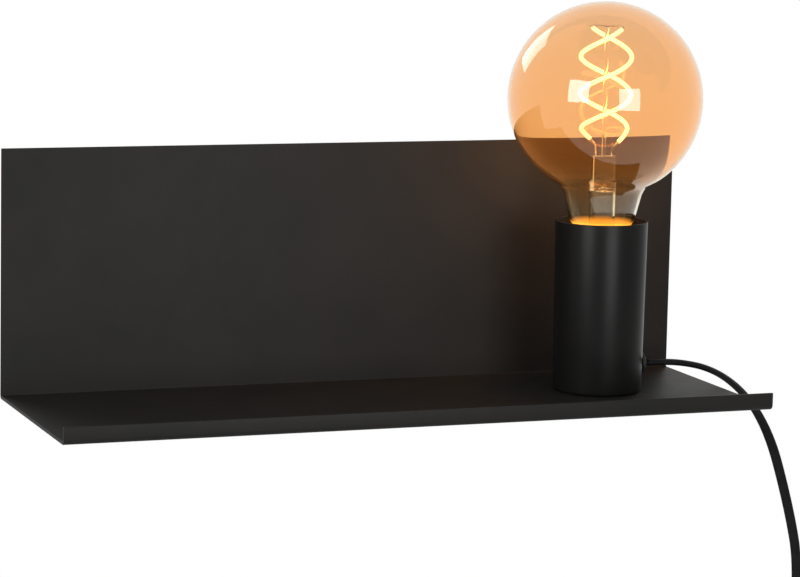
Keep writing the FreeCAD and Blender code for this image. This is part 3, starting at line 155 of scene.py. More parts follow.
# %% Lay the two smooth lines
POINTS_BETWEEN = 6
SPLINE_ORDER = 3


def cord_line(name, points):
    """A NURBS spline with the route's points, in metres, read back as the points it runs through."""
    curve = bpy.data.curves.new(name, "CURVE")
    curve.dimensions = "3D"
    curve.resolution_u = POINTS_BETWEEN
    spline = curve.splines.new("NURBS")
    spline.points.add(len(points) - 1)
    for point, at in zip(spline.points, points):
        point.co = (*(at * MM), 1)
    spline.order_u = SPLINE_ORDER
    spline.use_endpoint_u = True
    carrier = bpy.data.objects.new(name, curve)
    bpy.context.scene.collection.objects.link(carrier)
    bpy.context.view_layer.update()
    traced = bpy.data.meshes.new_from_object(carrier)
    line = [vertex.co.copy() for vertex in traced.vertices]
    bpy.data.meshes.remove(traced)
    bpy.data.objects.remove(carrier)
    bpy.data.curves.remove(curve)
    return line


drop_line = cord_line("drop_line", cord_points(DROP))
link = cord_points(LINK)
link_heading = (link[-1] - link[-2]).normalized()
coil_start = link[-1] + link_heading * CORD_WIDE
turns, coil_end = coil_points(coil_start, link_heading)
tail = cord_points(TAIL, coil_end.y - CORD_Y)
leaves_coil = coil_end + link_heading * CORD_WIDE
lead_line = cord_line("lead_line", [*link, coil_start, *turns, coil_end, leaves_coil, *tail])


def length_of(line):
    """The length of a line of points."""
    return sum((b - a).length for a, b in zip(line, line[1:]))


print(f"to the switch {length_of(drop_line):.3f} m, on to the plug {length_of(lead_line):.3f} m")

# %% Carry the flat section along a line
SECTION_POINTS = 20
CORD_THICK = 3.3
GROOVE_DEEP, GROOVE_WIDE = 0.16, 0.32
# The shares of each length over which the flex turns by a quarter.
DROP_TURNS, LEAD_TURNS = (0.12, 0.62), (0, 0.03)


def flat_section():
    """Half widths of two round cores side by side under one sheath, a shallow groove between them."""
    outline = []
    for n in range(SECTION_POINTS):
        angle = 2 * math.pi * n / SECTION_POINTS
        waist = 1 - GROOVE_DEEP * math.exp(-(math.cos(angle) / GROOVE_WIDE) ** 2)
        outline.append((CORD_WIDE / 2 * math.cos(angle), CORD_THICK / 2 * waist * math.sin(angle)))
    return outline


def flat_cord(name, line, turn_at, swell_at=lambda share: 1):
    """A tube of the flat section; turn_at and swell_at give its twist and size along the length."""
    total, gone = length_of(line), 0
    across = Vector((0, 1, 0))
    rings, distances = [], []
    for n, spot in enumerate(line):
        ahead = (line[min(n + 1, len(line) - 1)] - line[max(n - 1, 0)]).normalized()
        across = (across - ahead * across.dot(ahead)).normalized()
        gone += (spot - line[n - 1]).length if n else 0
        twisted = Matrix.Rotation(turn_at(gone / total), 3, ahead) @ across
        thin_way = ahead.cross(twisted)
        swell = swell_at(gone / total) * MM
        ring = [spot + (twisted * wide + thin_way * thin) * swell for wide, thin in flat_section()]
        rings.append(ring)
        distances.append(gone)
    count = SECTION_POINTS
    last_ring = (len(line) - 1) * count
    faces = []
    for first in range(0, last_ring, count):
        for k in range(count):
            beside = (k + 1) % count
            faces.append((first + k, first + beside, first + count + beside, first + count + k))
    faces += [tuple(reversed(range(count))), tuple(range(last_ring, last_ring + count))]
    mesh = bpy.data.meshes.new(name)
    mesh.from_pydata([corner for ring in rings for corner in ring], [], faces)
    along = mesh.uv_layers.new(name="along")
    for face in mesh.polygons[:-2]:
        ring, first = divmod(face.index, count)
        for loop, (up, round_it) in zip(face.loop_indices, ((0, 0), (0, 1), (1, 1), (1, 0))):
            along.data[loop].uv = ((first + round_it) / count, distances[ring + up])
    mesh.polygons.foreach_set("use_smooth", [True] * (len(faces) - 2) + [False] * 2)
    mesh.update()
    cord = bpy.data.objects.new(name, mesh)
    bpy.context.scene.collection.objects.link(cord)
    return cord


def eased(share, start, end):
    """From 0 to 1 between start and end, with soft ends."""
    step = min(max((share - start) / (end - start), 0), 1)
    return step * step * (3 - 2 * step)


drop_cord = flat_cord("flex_to_switch", drop_line, lambda share: QUARTER * eased(share, *DROP_TURNS))
lead_cord = flat_cord("flex_to_plug", lead_line, lambda share: QUARTER * (1 - eased(share, *LEAD_TURNS)))
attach(drop_cord, "lamp")
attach(lead_cord, "lamp")
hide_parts("cord_drop")
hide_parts("cord_link", "cord_coil", "cord_tail")
for cord in (drop_cord, lead_cord):
    print(cord.name, len(cord.data.polygons), "faces")

# %% [markdown]
# The plug keeps its flex from kinking with a tapered sleeve moulded on in rings. It has to follow the
# cord, so it is the same section carried along the cord's last stretch, swelling towards the plug.

# %% Mould the sleeve above the plug
SLEEVE_LONG, SLEEVE_RINGS, SLEEVE_STEPS = 24, 6, 72
SLEEVE_NARROW, SLEEVE_GROWS, RING_STANDS = 1.16, 0.38, 0.16


def last_stretch(line, long, steps):
    """Evenly spaced points on the last stretch of a line."""
    total, gone, spots = length_of(line), 0, []
    marks = [total - long + long * n / steps for n in range(steps)]
    for before, after in zip(line, line[1:]):
        run = (after - before).length
        while marks and gone + run >= marks[0]:
            spots.append(before.lerp(after, (marks.pop(0) - gone) / run))
        gone += run
    return spots + [line[-1]]


def sleeve_swell(share):
    """How much thicker than the flex the sleeve is at a share of its length, rings included."""
    ring = 0.5 - 0.5 * math.cos(2 * math.pi * SLEEVE_RINGS * share)
    return SLEEVE_NARROW + SLEEVE_GROWS * share + RING_STANDS * min(1, 2 * ring)


sleeve_line = last_stretch(lead_line, SLEEVE_LONG * MM, SLEEVE_STEPS)
plug_sleeve = flat_cord("plug_sleeve", sleeve_line, lambda share: 0, sleeve_swell)
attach(plug_sleeve, "lamp")
print(plug_sleeve.name, len(plug_sleeve.data.polygons), "faces")

# %% [markdown]
# ## Finishes
#
# A finish on a real lamp is never one flat colour: powder coat has a fine orange peel, plating has
# faint rubbed lines, a moulding keeps the spark-eroded grain of its mould. Each finish here starts
# from Blender's Principled shader, and small patterns in Object coordinates vary its colour,
# roughness and bump, so they stay put when the camera or the part moves. To keep the sums readable,
# a socket is wrapped so that Python's own operators add the Math nodes.

# %% Write shader maths as sums
class Channel:
    """One number that changes over a surface."""

    def __init__(self, finish, socket):
        self.finish, self.socket = finish, socket

    def math(self, operation, *operands):
        """The answer of one Math node, wrapped again."""
        made = self.finish.node("ShaderNodeMath", {"operation": operation}, dict(enumerate(operands)))
        return Channel(self.finish, made.outputs[0])

    def __add__(self, other):
        return self.math("ADD", self, other)

    def __sub__(self, other):
        return self.math("SUBTRACT", self, other)

    def __rsub__(self, other):
        return self.math("SUBTRACT", other, self)

    def __mul__(self, other):
        return self.math("MULTIPLY", self, other)

    def above(self, edge):
        """1 where the number is above an edge, else 0."""
        return self.math("GREATER_THAN", self, edge)

    def wave(self):
        """The number's sine."""
        return self.math("SINE", self)

    def spread(self, gain, drop):
        """Noise that stays near a half, stretched to go from below 0 to above 1."""
        return self * gain - drop

    def held(self):
        """The number kept between 0 and 1."""
        return self.math("MINIMUM", self.math("MAXIMUM", self, 0), 1)

# %% [markdown]
# A finish wraps one material. Its methods add the patterns and feed them to the shader's sockets, and a
# value that isn't varied stays a plain number on its socket.

# %% Build a finish node by node
class Finish:
    """A material built node by node round a Principled shader."""

    def __init__(self, name, colour, roughness, metallic=0, specular=0.5, **uniform):
        self.material = bpy.data.materials.new(name)
        self.material.use_nodes = True
        self.tree = self.material.node_tree
        self.shader = self.tree.nodes["Principled BSDF"]
        self.colour = colour
        fixed = {"Base Color": (*colour, 1), "Roughness": roughness, "Metallic": metallic,
                 "Specular IOR Level": specular}
        for socket, value in {**fixed, **uniform}.items():
            self.shader.inputs[socket].default_value = value
        self.position = self.node("ShaderNodeTexCoord").outputs["Object"]

    def node(self, kind, settings=None, values=None):
        """Adds a node: its settings first, then a value or a link for each socket."""
        new = self.tree.nodes.new(kind)
        for setting, value in (settings or {}).items():
            if setting == "stops":
                self.set_stops(new.color_ramp, value)
            else:
                setattr(new, setting, value)
        for socket, value in (values or {}).items():
            self.feed(new.inputs[socket], value)
        return new

    def set_stops(self, ramp, stops):
        """Gives a colour ramp its places and colours."""
        while len(ramp.elements) < len(stops):
            ramp.elements.new(0.5)
        for element, (place, shade) in zip(ramp.elements, stops):
            element.position, element.color = place, (*shade, 1)

    def feed(self, socket, value):
        """Links a channel or a socket, or sets a plain value."""
        if isinstance(value, Channel):
            value = value.socket
        if isinstance(value, bpy.types.NodeSocket):
            self.tree.links.new(value, socket)
        else:
            socket.default_value = value

    def noise(self, size_mm, detail=2, stretch=None):
        """Soft noise with features of about that size; stretch lengthens it along an axis."""
        where = self.position
        if stretch:
            where = self.node("ShaderNodeMapping", None, {"Vector": where, "Scale": stretch}).outputs[0]
        sockets = {"Vector": where, "Scale": 1 / (size_mm * MM), "Detail": detail}
        return Channel(self, self.node("ShaderNodeTexNoise", None, sockets).outputs[0])

    def cells(self, size_mm):
        """Distance to the nearest of many scattered points, for grain and speckle."""
        sockets = {"Vector": self.position, "Scale": 1 / (size_mm * MM)}
        return Channel(self, self.node("ShaderNodeTexVoronoi", None, sockets).outputs["Distance"])

    def axis(self, letter):
        """The X, Y or Z of the surface point, in metres."""
        split = self.node("ShaderNodeSeparateXYZ", None, {"Vector": self.position})
        return Channel(self, split.outputs[letter])

    def blend(self, mask, first, second):
        """A colour that goes from first to second with the mask."""
        sockets = {0: mask, 6: (*first, 1), 7: (*second, 1)}
        return self.node("ShaderNodeMix", {"data_type": "RGBA"}, sockets).outputs[2]

    def paint(self, mask, second):
        """Lets the base colour go to a second one where the mask is 1."""
        self.feed(self.shader.inputs["Base Color"], self.blend(mask.held(), self.colour, second))

    def vary(self, socket, channel):
        """Lets a channel, kept between 0 and 1, set one of the shader's sockets."""
        self.feed(self.shader.inputs[socket], channel.held())

    def emboss(self, height, depth_mm):
        """Bumps the surface: height 1 stands that far out."""
        bump = self.node("ShaderNodeBump", None, {"Height": height, "Distance": depth_mm * MM})
        self.feed(self.shader.inputs["Normal"], bump.outputs["Normal"])


finishes = {}

# %% [markdown]
# ### Powder coat, mouldings and rubber
#
# The sheet and the cup are steel under a satin black powder coat. Its skin is flat over a few
# centimetres but has an orange peel a millimetre across and a much finer grain, and it is never
# equally matt. The cup is a shade glossier. The mouldings and the rubber are darker or duller
# members of the same family, so one recipe with named numbers makes them all.

# %% Mix the black family
BLACKS = {
    # slot: colour, second colour, roughness, its spread, peel size mm, peel depth mm, specular
    "black_sheet": ((0.0092, 0.0089, 0.0086), (0.0118, 0.0109, 0.0100), 0.50, 0.08, 1.6, 0.012, 0.075),
    "black_cup": ((0.0054, 0.0052, 0.0051), (0.0070, 0.0066, 0.0062), 0.32, 0.07, 1.3, 0.009, 0.07),
    "black_moulding": ((0.007, 0.007, 0.0072), (0.010, 0.010, 0.010), 0.48, 0.12, 0.5, 0.012, 0.16),
    "black_gloss": ((0.007, 0.007, 0.0073), (0.010, 0.010, 0.010), 0.34, 0.16, 0.45, 0.014, 0.2),
    "black_rocker": ((0.008, 0.008, 0.008), (0.012, 0.012, 0.012), 0.26, 0.10, 0.4, 0.006, 0.25),
    "bumper_rubber": ((0.018, 0.018, 0.019), (0.028, 0.027, 0.026), 0.72, 0.12, 0.7, 0.020, 0.2),
    "cap_black_glass": ((0.006, 0.006, 0.010), (0.012, 0.010, 0.014), 0.12, 0.06, 2.0, 0.010, 0.5),
}
CLOUD_MM, PATCH_MM = 38, 9
GRAIN_FINER, GRAIN_HEIGHT = 5, 0.3


def mix_black(slot, colour, second, roughness, spread, peel, depth, specular):
    """A black with slow clouds of a second colour, and an orange peel with a finer grain in it."""
    finish = Finish(slot, colour, roughness, specular=specular)
    finish.paint(finish.noise(CLOUD_MM, detail=3).spread(2.4, 0.7), second)
    finish.vary("Roughness", (finish.noise(PATCH_MM, detail=4) - 0.5) * spread + roughness)
    grain = finish.noise(peel) + finish.noise(peel / GRAIN_FINER, detail=3) * GRAIN_HEIGHT
    finish.emboss(grain, depth)
    return finish


for slot, recipe in BLACKS.items():
    finishes[slot] = mix_black(slot, *recipe)
print("black finishes:", ", ".join(BLACKS))

# %% [markdown]
# ### Plated and bare metals
#
# Zinc shows a faint cloudy spangle, nickel is smoother and warmer, brass is yellow and dulls where it
# has been handled, and solder sets in a soft, slightly wrinkled bead. All are full metals: what
# changes is the colour, how rubbed they are and the length of the rubbed lines.

# %% Mix the metals
METALS = {
    # slot: colour, second colour, roughness, its spread, line length : width, depth mm
    "zinc_steel": ((0.62, 0.64, 0.66), (0.50, 0.51, 0.50), 0.34, 0.22, 5, 0.010),
    "nickel_cap": ((0.72, 0.69, 0.63), (0.60, 0.57, 0.50), 0.26, 0.16, 9, 0.006),
    "nickel_wire": ((0.60, 0.57, 0.52), (0.50, 0.47, 0.42), 0.32, 0.14, 3, 0.004),
    "nickel_pin": ((0.76, 0.74, 0.70), (0.66, 0.63, 0.58), 0.20, 0.14, 12, 0.005),
    "brass_parts": ((0.78, 0.56, 0.24), (0.60, 0.40, 0.17), 0.28, 0.20, 6, 0.008),
    "solder": ((0.55, 0.56, 0.58), (0.42, 0.43, 0.45), 0.40, 0.20, 1, 0.030),
}
RUBBED_MM, SPANGLE_MM, HANDLED_MM = 0.35, 5, 3


def mix_metal(slot, colour, second, roughness, spread, rubbed, depth):
    """A metal with a spangle of a second colour and fine lines rubbed along Z."""
    finish = Finish(slot, colour, roughness, metallic=1)
    lines = finish.noise(RUBBED_MM, detail=3, stretch=(1, 1, 1 / rubbed))
    finish.paint(finish.noise(SPANGLE_MM, detail=3).spread(2.2, 0.6), second)
    finish.vary("Roughness", (lines + finish.noise(HANDLED_MM) - 1) * spread + roughness)
    finish.emboss(lines, depth)
    return finish


for slot, recipe in METALS.items():
    finishes[slot] = mix_metal(slot, *recipe)
print("metal finishes:", ", ".join(METALS))

# %% [markdown]
# ### Flex, cores, ceramic and board
#
# The flex's sheath is soft black plastic with fine lines drawn along it by the die it came through, so
# its pattern follows the tube's own UV map. The cores inside are plain coloured plastic. The
# lampholder's core is unglazed white ceramic with a little iron speckle, and the driver is a green
# board crossed by copper tracks.

# %% Mix the sheath and the cores
DIE_LINES, LINE_HEIGHT, LINE_GLOSS = 26, 0.35, 0.05
HANDLED_GLOSS, SHEATH_GLOSS = 0.16, 0.36


def mix_sheath():
    """Soft plastic with the die's lines along it and a few handled patches."""
    finish = Finish("black_cord", (0.0055, 0.0055, 0.0057), 0.46, specular=0.045)
    uv = finish.node("ShaderNodeUVMap", {"uv_map": "along"}).outputs[0]
    round_it = Channel(finish, finish.node("ShaderNodeSeparateXYZ", None, {"Vector": uv}).outputs["X"])
    lines = (round_it * (2 * math.pi * DIE_LINES)).wave()
    finish.paint(finish.noise(6, detail=3).spread(2, 0.5), (0.009, 0.009, 0.009))
    finish.vary("Roughness", lines * LINE_GLOSS + finish.noise(2.5) * HANDLED_GLOSS + SHEATH_GLOSS)
    finish.emboss(lines * LINE_HEIGHT + finish.noise(0.5), 0.016)
    return finish


CORES = {
    # slot: colour, second colour
    "brown_core": ((0.10, 0.045, 0.02), (0.13, 0.06, 0.03)),
    "blue_core": ((0.02, 0.09, 0.34), (0.03, 0.12, 0.42)),
}
CORE_ROUGH, CORE_GLOSS, CORE_DEPTH = 0.45, 0.2, 0.010
CORE_GRAIN_MM = 0.6


def mix_core(slot, colour, second):
    """Plain plastic with a fine grain and slightly uneven gloss."""
    finish = Finish(slot, colour, CORE_ROUGH)
    finish.paint(finish.noise(CORE_GRAIN_MM * 8, detail=3).spread(2, 0.5), second)
    patches = finish.noise(CORE_GRAIN_MM * 3) * CORE_GLOSS
    finish.vary("Roughness", patches + (CORE_ROUGH - CORE_GLOSS / 2))
    finish.emboss(finish.noise(CORE_GRAIN_MM), CORE_DEPTH)
    return finish


finishes["black_cord"] = mix_sheath()
for slot, recipe in CORES.items():
    finishes[slot] = mix_core(slot, *recipe)
print("sheath and cores:", "black_cord,", ", ".join(CORES))

# %% Mix the ceramic, the board and the band
SPECKLE_MM, SPECKLE_SHARP, SPECKLED_ABOVE = 2.6, 5, 0.52
WAVES_ACROSS, WAVES_UP = 2600, 1900
TRACK_EDGE, TRACK_SHARP = 0.35, 6
THREAD_WAVES, NAP_HEIGHT = 5200, 0.8


def mix_ceramic():
    """Unglazed white ceramic with scattered iron specks."""
    finish = Finish("white_ceramic", (0.80, 0.79, 0.75), 0.55)
    dots = (1 - finish.cells(SPECKLE_MM) * SPECKLE_SHARP).held()
    finish.paint(dots * finish.noise(4).above(SPECKLED_ABOVE), (0.46, 0.40, 0.34))
    finish.emboss(finish.noise(0.7, detail=4), 0.03)
    return finish


def mix_board():
    """A green board crossed by copper tracks."""
    finish = Finish("circuit_board", (0.03, 0.16, 0.07), 0.35)
    tracks = (finish.axis("X") * WAVES_ACROSS).wave() * (finish.axis("Z") * WAVES_UP).wave()
    finish.paint((tracks - TRACK_EDGE) * TRACK_SHARP, (0.62, 0.42, 0.20))
    finish.emboss(tracks.held(), 0.05)
    return finish


def mix_band():
    """Woven hook-and-loop band: threads over and under with painted shade between them, and a brushed
    nap.
    """
    finish = Finish("tie_band", (0.020, 0.020, 0.021), 0.85, specular=0.25, **{"Sheen Weight": 0.4})
    across = (finish.axis("X") * THREAD_WAVES).wave()
    weave_and_painted_shade = across * ((finish.axis("Z") + finish.axis("Y")) * THREAD_WAVES).wave()
    # Painted light: the band is lighter on the raised threads and darker in the dips between them.
    finish.paint(weave_and_painted_shade * 0.5 + 0.5, (0.045, 0.045, 0.047))
    finish.emboss(weave_and_painted_shade + finish.noise(0.25, detail=4) * NAP_HEIGHT, 0.12)
    return finish


finishes["white_ceramic"] = mix_ceramic()
finishes["circuit_board"] = mix_board()
finishes["tie_band"] = mix_band()
print("ceramic, board and band mixed")

# %% [markdown]
# ### Tinted glass and glowing strands
#
# The globe is clear glass with an amber lustre that is thickest over the crown and thins out down the
# neck, so its tint fades with height. It stays a real refracting wall. It throws no shadow, because a
# wall this thin lets the light of the strands out almost unchanged, which a path tracer can't find
# through refraction. The strands are phosphor-coated ropes that glow yellow-white.
# The glass has the strands' light painted on it as a faint orange glow, strongest at the neck's foot.

# %% Mix the glass and the light
GLOBE_BOTTOM, GLOBE_TOP = 0.004, 0.117
CLEAR = {"Transmission Weight": 1.0, "IOR": 1.48}
TINTS = (
    # share of the globe's height, colour
    (0.0, (0.97, 0.93, 0.86)),
    (0.17, (0.95, 0.86, 0.68)),
    (0.33, (0.93, 0.62, 0.33)),
    (1.0, (0.91, 0.66, 0.42)),
)
# Painted glow: the strands' light on the glass, as an emission colour by share of the globe's height.
PAINTED_STRAND_GLOW = (
    (0.0, (0.0, 0.0, 0.0)),
    (0.012, (0.9, 0.34, 0.04)),
    (0.04, (0.7, 0.25, 0.02)),
    (0.062, (0.0, 0.0, 0.0)),
    (0.18, (0.003, 0.001, 0.0)),
    (0.42, (0.020, 0.006, 0.0)),
    (1.0, (0.014, 0.004, 0.0)),
)
LUSTRE_PATCH_MM, LUSTRE_DRIFT = 30, 0.08


def mix_amber_glass():
    """Tint and the painted glow of the strands' light change with height; the glow peaks at the neck's
    foot.
    """
    finish = Finish("amber_glass", (0.98, 0.72, 0.45), 0.02, **CLEAR, **{"Emission Strength": 1.0})
    height = (finish.axis("Z") - GLOBE_BOTTOM) * (1 / (GLOBE_TOP - GLOBE_BOTTOM))
    drifting = (height + finish.noise(LUSTRE_PATCH_MM) * LUSTRE_DRIFT).held()
    lustre = finish.node("ShaderNodeValToRGB", {"stops": TINTS}, {"Fac": drifting})
    # The painted glow of the strands' light on the glass.
    glow = finish.node("ShaderNodeValToRGB", {"stops": PAINTED_STRAND_GLOW}, {"Fac": height.held()})
    finish.feed(finish.shader.inputs["Base Color"], lustre.outputs["Color"])
    finish.feed(finish.shader.inputs["Emission Color"], glow.outputs["Color"])
    finish.vary("Roughness", finish.noise(14) * 0.02 + 0.005)
    return finish


def mix_clear_glass():
    """Slightly uneven pressed glass."""
    finish = Finish("clear_glass", (0.99, 0.97, 0.93), 0.03, **CLEAR)
    finish.vary("Roughness", finish.noise(5) * 0.05 + 0.01)
    finish.emboss(finish.noise(2.2), 0.05)
    return finish


def mix_glow():
    """The strands' phosphor: two yellow-whites mottled together, lit from within."""
    finish = Finish("glowing_strand", (1.0, 0.78, 0.32), 0.6, **{"Emission Strength": 2.3})
    mottle = finish.noise(0.9, detail=3)
    glow = finish.blend(mottle.spread(2.4, 0.7).held(), (1.0, 0.82, 0.52), (1.0, 0.72, 0.36))
    finish.feed(finish.shader.inputs["Emission Color"], glow)
    finish.emboss(mottle, 0.12)
    return finish


finishes["amber_glass"] = mix_amber_glass()
finishes["clear_glass"] = mix_clear_glass()
finishes["glowing_strand"] = mix_glow()
print(len(finishes), "finishes mixed")

# %% [markdown]
# ## Modelling by hand, in code
#
# The next pieces are modelled as at the screen: a primitive is added, then shaped in edit mode with
# extrude, inset, bevel and spin. Operators act on whatever is selected, so a few small helpers come
# first. They select a single object, pick edges by their place, extrude and apply a modifier. The last
# one finishes a piece, which hides the CAD solid it stands for and rides on the same body.

# %% Helpers for selecting and shaping
NEAR = MM / 10
WELD = MM / 1000


def only(piece):
    """Selects one object and makes it active."""
    if bpy.context.mode != "OBJECT":
        bpy.ops.object.mode_set(mode="OBJECT")
    bpy.ops.object.select_all(action="DESELECT")
    piece.select_set(True)
    bpy.context.view_layer.objects.active = piece


def start(name):
    """Takes the primitive just added: names it, applies its place and opens edit mode on all of it."""
    piece = bpy.context.active_object
    only(piece)
    piece.name = piece.data.name = name
    bpy.ops.object.transform_apply(location=True, rotation=True, scale=True)
    bpy.ops.object.mode_set(mode="EDIT")
    bpy.ops.mesh.select_mode(type="VERT")
    bpy.ops.mesh.select_all(action="SELECT")
    return piece


def pick_edges(piece, test):
    """Selects the edges whose middle passes a test, and says how many."""
    bpy.ops.mesh.select_mode(type="EDGE")
    bpy.ops.mesh.select_all(action="DESELECT")
    found = 0
    for edge in bmesh.from_edit_mesh(piece.data).edges:
        if test((edge.verts[0].co + edge.verts[1].co) / 2):
            edge.select_set(True)
            found += 1
    bmesh.update_edit_mesh(piece.data)
    return found


def extrude(*shift):
    """Extrudes what is selected by a shift in millimetres."""
    bpy.ops.mesh.extrude_region_move(TRANSFORM_OT_translate={"value": [side * MM for side in shift]})


def modify(piece, kind, **settings):
    """Adds a modifier with its settings and applies it."""
    only(piece)
    new = piece.modifiers.new(kind.lower(), kind)
    for setting, value in settings.items():
        setattr(new, setting, value)
    bpy.ops.object.modifier_apply(modifier=new.name)


def dress(piece, slot, body, stands_for, smooth=35):
    """Shades, paints and mounts a finished piece; smooth is the sharpest angle that shades as round."""
    only(piece)
    bpy.ops.object.shade_smooth_by_angle(angle=math.radians(smooth))
    piece.data.materials.clear()
    piece.data.materials.append(finishes[slot].material)
    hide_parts(stands_for)
    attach(piece, body)
    corners = [vertex.co for vertex in piece.data.vertices]
    sides = [max(c[n] for c in corners) - min(c[n] for c in corners) for n in range(3)]
    in_mm = [round(side / MM, 1) for side in sides]
    print(f"{piece.name}: {len(piece.data.polygons)} faces, {in_mm} mm")
    return piece


# %% [markdown]
# ## The folded sheet
#
# One blank of 1.5 mm steel is folded twice: up the wall and up into the front lip. Modelling it as a
# block would hide that, so a plane is extruded along the folds like the real blank, the fold lines are
# bevelled to the press brake's radii, and Solidify gives the gauge. The last bevel is the powder
# coat's rounding of every cut edge, which catches the fine light line along the lip's end.

# %% Fold the sheet
PLATE_FRONT, SHEET_TOP = -6.5, 45
LIP_INNER, LIP_TOP = -123.5, -66.7
SHEET = 1.5
FOLDS = ((PLATE_FRONT, 0.6), (LIP_INNER, 1.2))
FOLD_STEPS, EDGE_STEPS = 8, 3
EDGE_ROUND = 0.24
CUT_EDGE = math.radians(50)


def model_sheet():
    """The blank: a plate, extruded into the shelf and the lip, then folded and thickened."""
    bpy.ops.mesh.primitive_plane_add(size=MM, rotation=(QUARTER, 0, 0))
    plane = bpy.context.active_object
    plane.scale = (2 * SHELF_END, SHEET_TOP - SHELF_TOP, 1)
    plane.location = Vector((0, PLATE_FRONT, (SHEET_TOP + SHELF_TOP) / 2)) * MM
    sheet = start("folded_sheet")
    pick_edges(sheet, lambda middle: abs(middle.z - SHELF_TOP * MM) < NEAR)
    extrude(0, LIP_INNER - PLATE_FRONT, 0)
    extrude(0, 0, LIP_TOP - SHELF_TOP)
    for line, radius in FOLDS:
        fold = Vector((0, line, SHELF_TOP)) * MM
        pick_edges(sheet, lambda middle: (middle - fold).length < NEAR)
        bpy.ops.mesh.bevel(offset=radius * MM, segments=FOLD_STEPS, affect="EDGES")
    bpy.ops.object.mode_set(mode="OBJECT")
    modify(sheet, "SOLIDIFY", thickness=SHEET * MM, offset=-1, use_even_offset=True)
    modify(sheet, "BEVEL", width=EDGE_ROUND * MM, segments=EDGE_STEPS, limit_method="ANGLE",
           angle_limit=CUT_EDGE)
    return dress(sheet, "black_sheet", "lamp", "shelf_sheet")


model_sheet()

# %% [markdown]
# ## The cup
#
# A deep-drawn steel cup hides the lampholder. It widens by less than a millimetre a side towards its
# mouth, and its foot is rounded. A spun outline would do, but drawing it as the press does shows the
# steps: a disc is raised to a wall, the mouth is inset by the gauge, and the inside is sunk.

# %% Draw the cup
HOLDER = Vector((111.6, CORD_Y, SHELF_TOP))
CUP_FOOT, CUP_TOP, CUP_HIGH, CUP_WALL = 43.4, 45.2, 84, 1.2
CUP_ROUNDINGS = (
    # height, width, radius, steps
    (0, CUP_FOOT, 1.8, 7),
    (CUP_HIGH, CUP_TOP, 0.35, 3),
    (CUP_HIGH, CUP_TOP - 2 * CUP_WALL, 0.35, 3),
)
ROUND_STEPS = 128


def ring_at(height, width):
    """A test for edges of the cup that lie at a height, in a ring of that width round its axis."""
    def test(middle):
        from_axis = math.hypot(middle.x - HOLDER.x * MM, middle.y - HOLDER.y * MM)
        from_height = middle.z - (SHELF_TOP + height) * MM
        return abs(from_height) < NEAR / 2 and abs(from_axis - width / 2 * MM) < NEAR
    return test


def model_cup():
    """The cup, drawn up from its foot, inset at the mouth, sunk to the gauge and rounded."""
    bpy.ops.mesh.primitive_circle_add(vertices=ROUND_STEPS, radius=CUP_FOOT / 2 * MM, fill_type="NGON",
                                      location=HOLDER * MM)
    cup = start("drawn_cup")
    axis = (HOLDER.x * MM, HOLDER.y * MM, 0)
    extrude(0, 0, CUP_HIGH)
    flare = CUP_TOP / CUP_FOOT
    bpy.ops.transform.resize(value=(flare, flare, 1), center_override=axis)
    bpy.ops.mesh.inset(thickness=CUP_WALL * MM)
    extrude(0, 0, CUP_WALL - CUP_HIGH)
    close_in = (CUP_FOOT - 2 * CUP_WALL) / (CUP_TOP - 2 * CUP_WALL)
    bpy.ops.transform.resize(value=(close_in, close_in, 1), center_override=axis)
    for height, width, radius, steps in CUP_ROUNDINGS:
        found = pick_edges(cup, ring_at(height, width))
        bpy.ops.mesh.bevel(offset=radius * MM, segments=steps, affect="EDGES")
        print(f"rounded {found} edges at height {height}")
    bpy.ops.mesh.select_all(action="SELECT")
    bpy.ops.mesh.normals_make_consistent(inside=False)
    bpy.ops.object.mode_set(mode="OBJECT")
    return dress(cup, "black_cup", "lamp", "holder_cup")


model_cup()

# %% [markdown]
# ## Turned pieces: the gland and the globe
#
# Both are round about an axis, so each starts as one vertex that is extruded along its outline and then
# spun. The gland is a moulded bush with a flange and a tapering nose. The globe is a sphere that runs
# into its neck over a hollow shoulder, and its outline is worked out from the tangent circles, so that
# no crease shows in the reflections.

# %% Spin an outline
def spin_outline(name, outline, spin_axis, steps=ROUND_STEPS):
    """Draws an outline point by point and spins it about an axis, given as a point and a direction."""
    bpy.ops.mesh.primitive_plane_add(size=MM, location=outline[0] * MM)
    piece = start(name)
    bpy.ops.mesh.merge(type="CENTER")
    for before, after in zip(outline, outline[1:]):
        bpy.ops.mesh.extrude_vertices_move(TRANSFORM_OT_translate={"value": (after - before) * MM})
    bpy.ops.mesh.select_all(action="SELECT")
    centre, direction = spin_axis
    bpy.ops.mesh.spin(steps=steps, angle=2 * math.pi, center=centre * MM, axis=direction)
    bpy.ops.mesh.select_all(action="SELECT")
    bpy.ops.mesh.remove_doubles(threshold=WELD)
    bpy.ops.mesh.normals_make_consistent(inside=False)
    bpy.ops.object.mode_set(mode="OBJECT")
    return piece


# %% Turn the gland
GLAND_HEIGHT, GLAND_SEAT, GLAND_STEPS = 12.5, 22.33, 64
# Radius and place along the gland's axis, from its seat on the cup: shank, flange, nose and bore.
GLAND_OUTLINE = ((2.7, -5.3), (3.4, -5.3), (3.4, 0),
                 (5.0, 0), (5.3, 0.15), (5.4, 0.45), (5.4, 1.1), (5.25, 1.45), (4.85, 1.75),
                 (4.3, 1.95), (3.9, 2.2), (3.5, 2.55), (3.1, 2.6), (2.8, 2.45), (2.7, 2.1), (2.7, -5.3))


def model_gland():
    """The bush that the cord leaves the cup through, pointing along the shelf."""
    centre = HOLDER + Vector((GLAND_SEAT, 0, GLAND_HEIGHT))
    outline = [centre + Vector((along, 0, radius)) for radius, along in GLAND_OUTLINE]
    gland = spin_outline("cord_bush", outline, (centre, Vector((1, 0, 0))), GLAND_STEPS)
    return dress(gland, "black_moulding", "lamp", "cord_gland")


cord_bush = model_gland()

# %% Blow the globe
GLOBE_RADIUS, GLOBE_CENTRE = 47.5, 143.3
NECK_RADIUS, NECK_AT, NECK_SLOPE = 16.2, 85, math.radians(76)
SHOULDER_RADIUS, GLASS_WALL = 9, 0.9
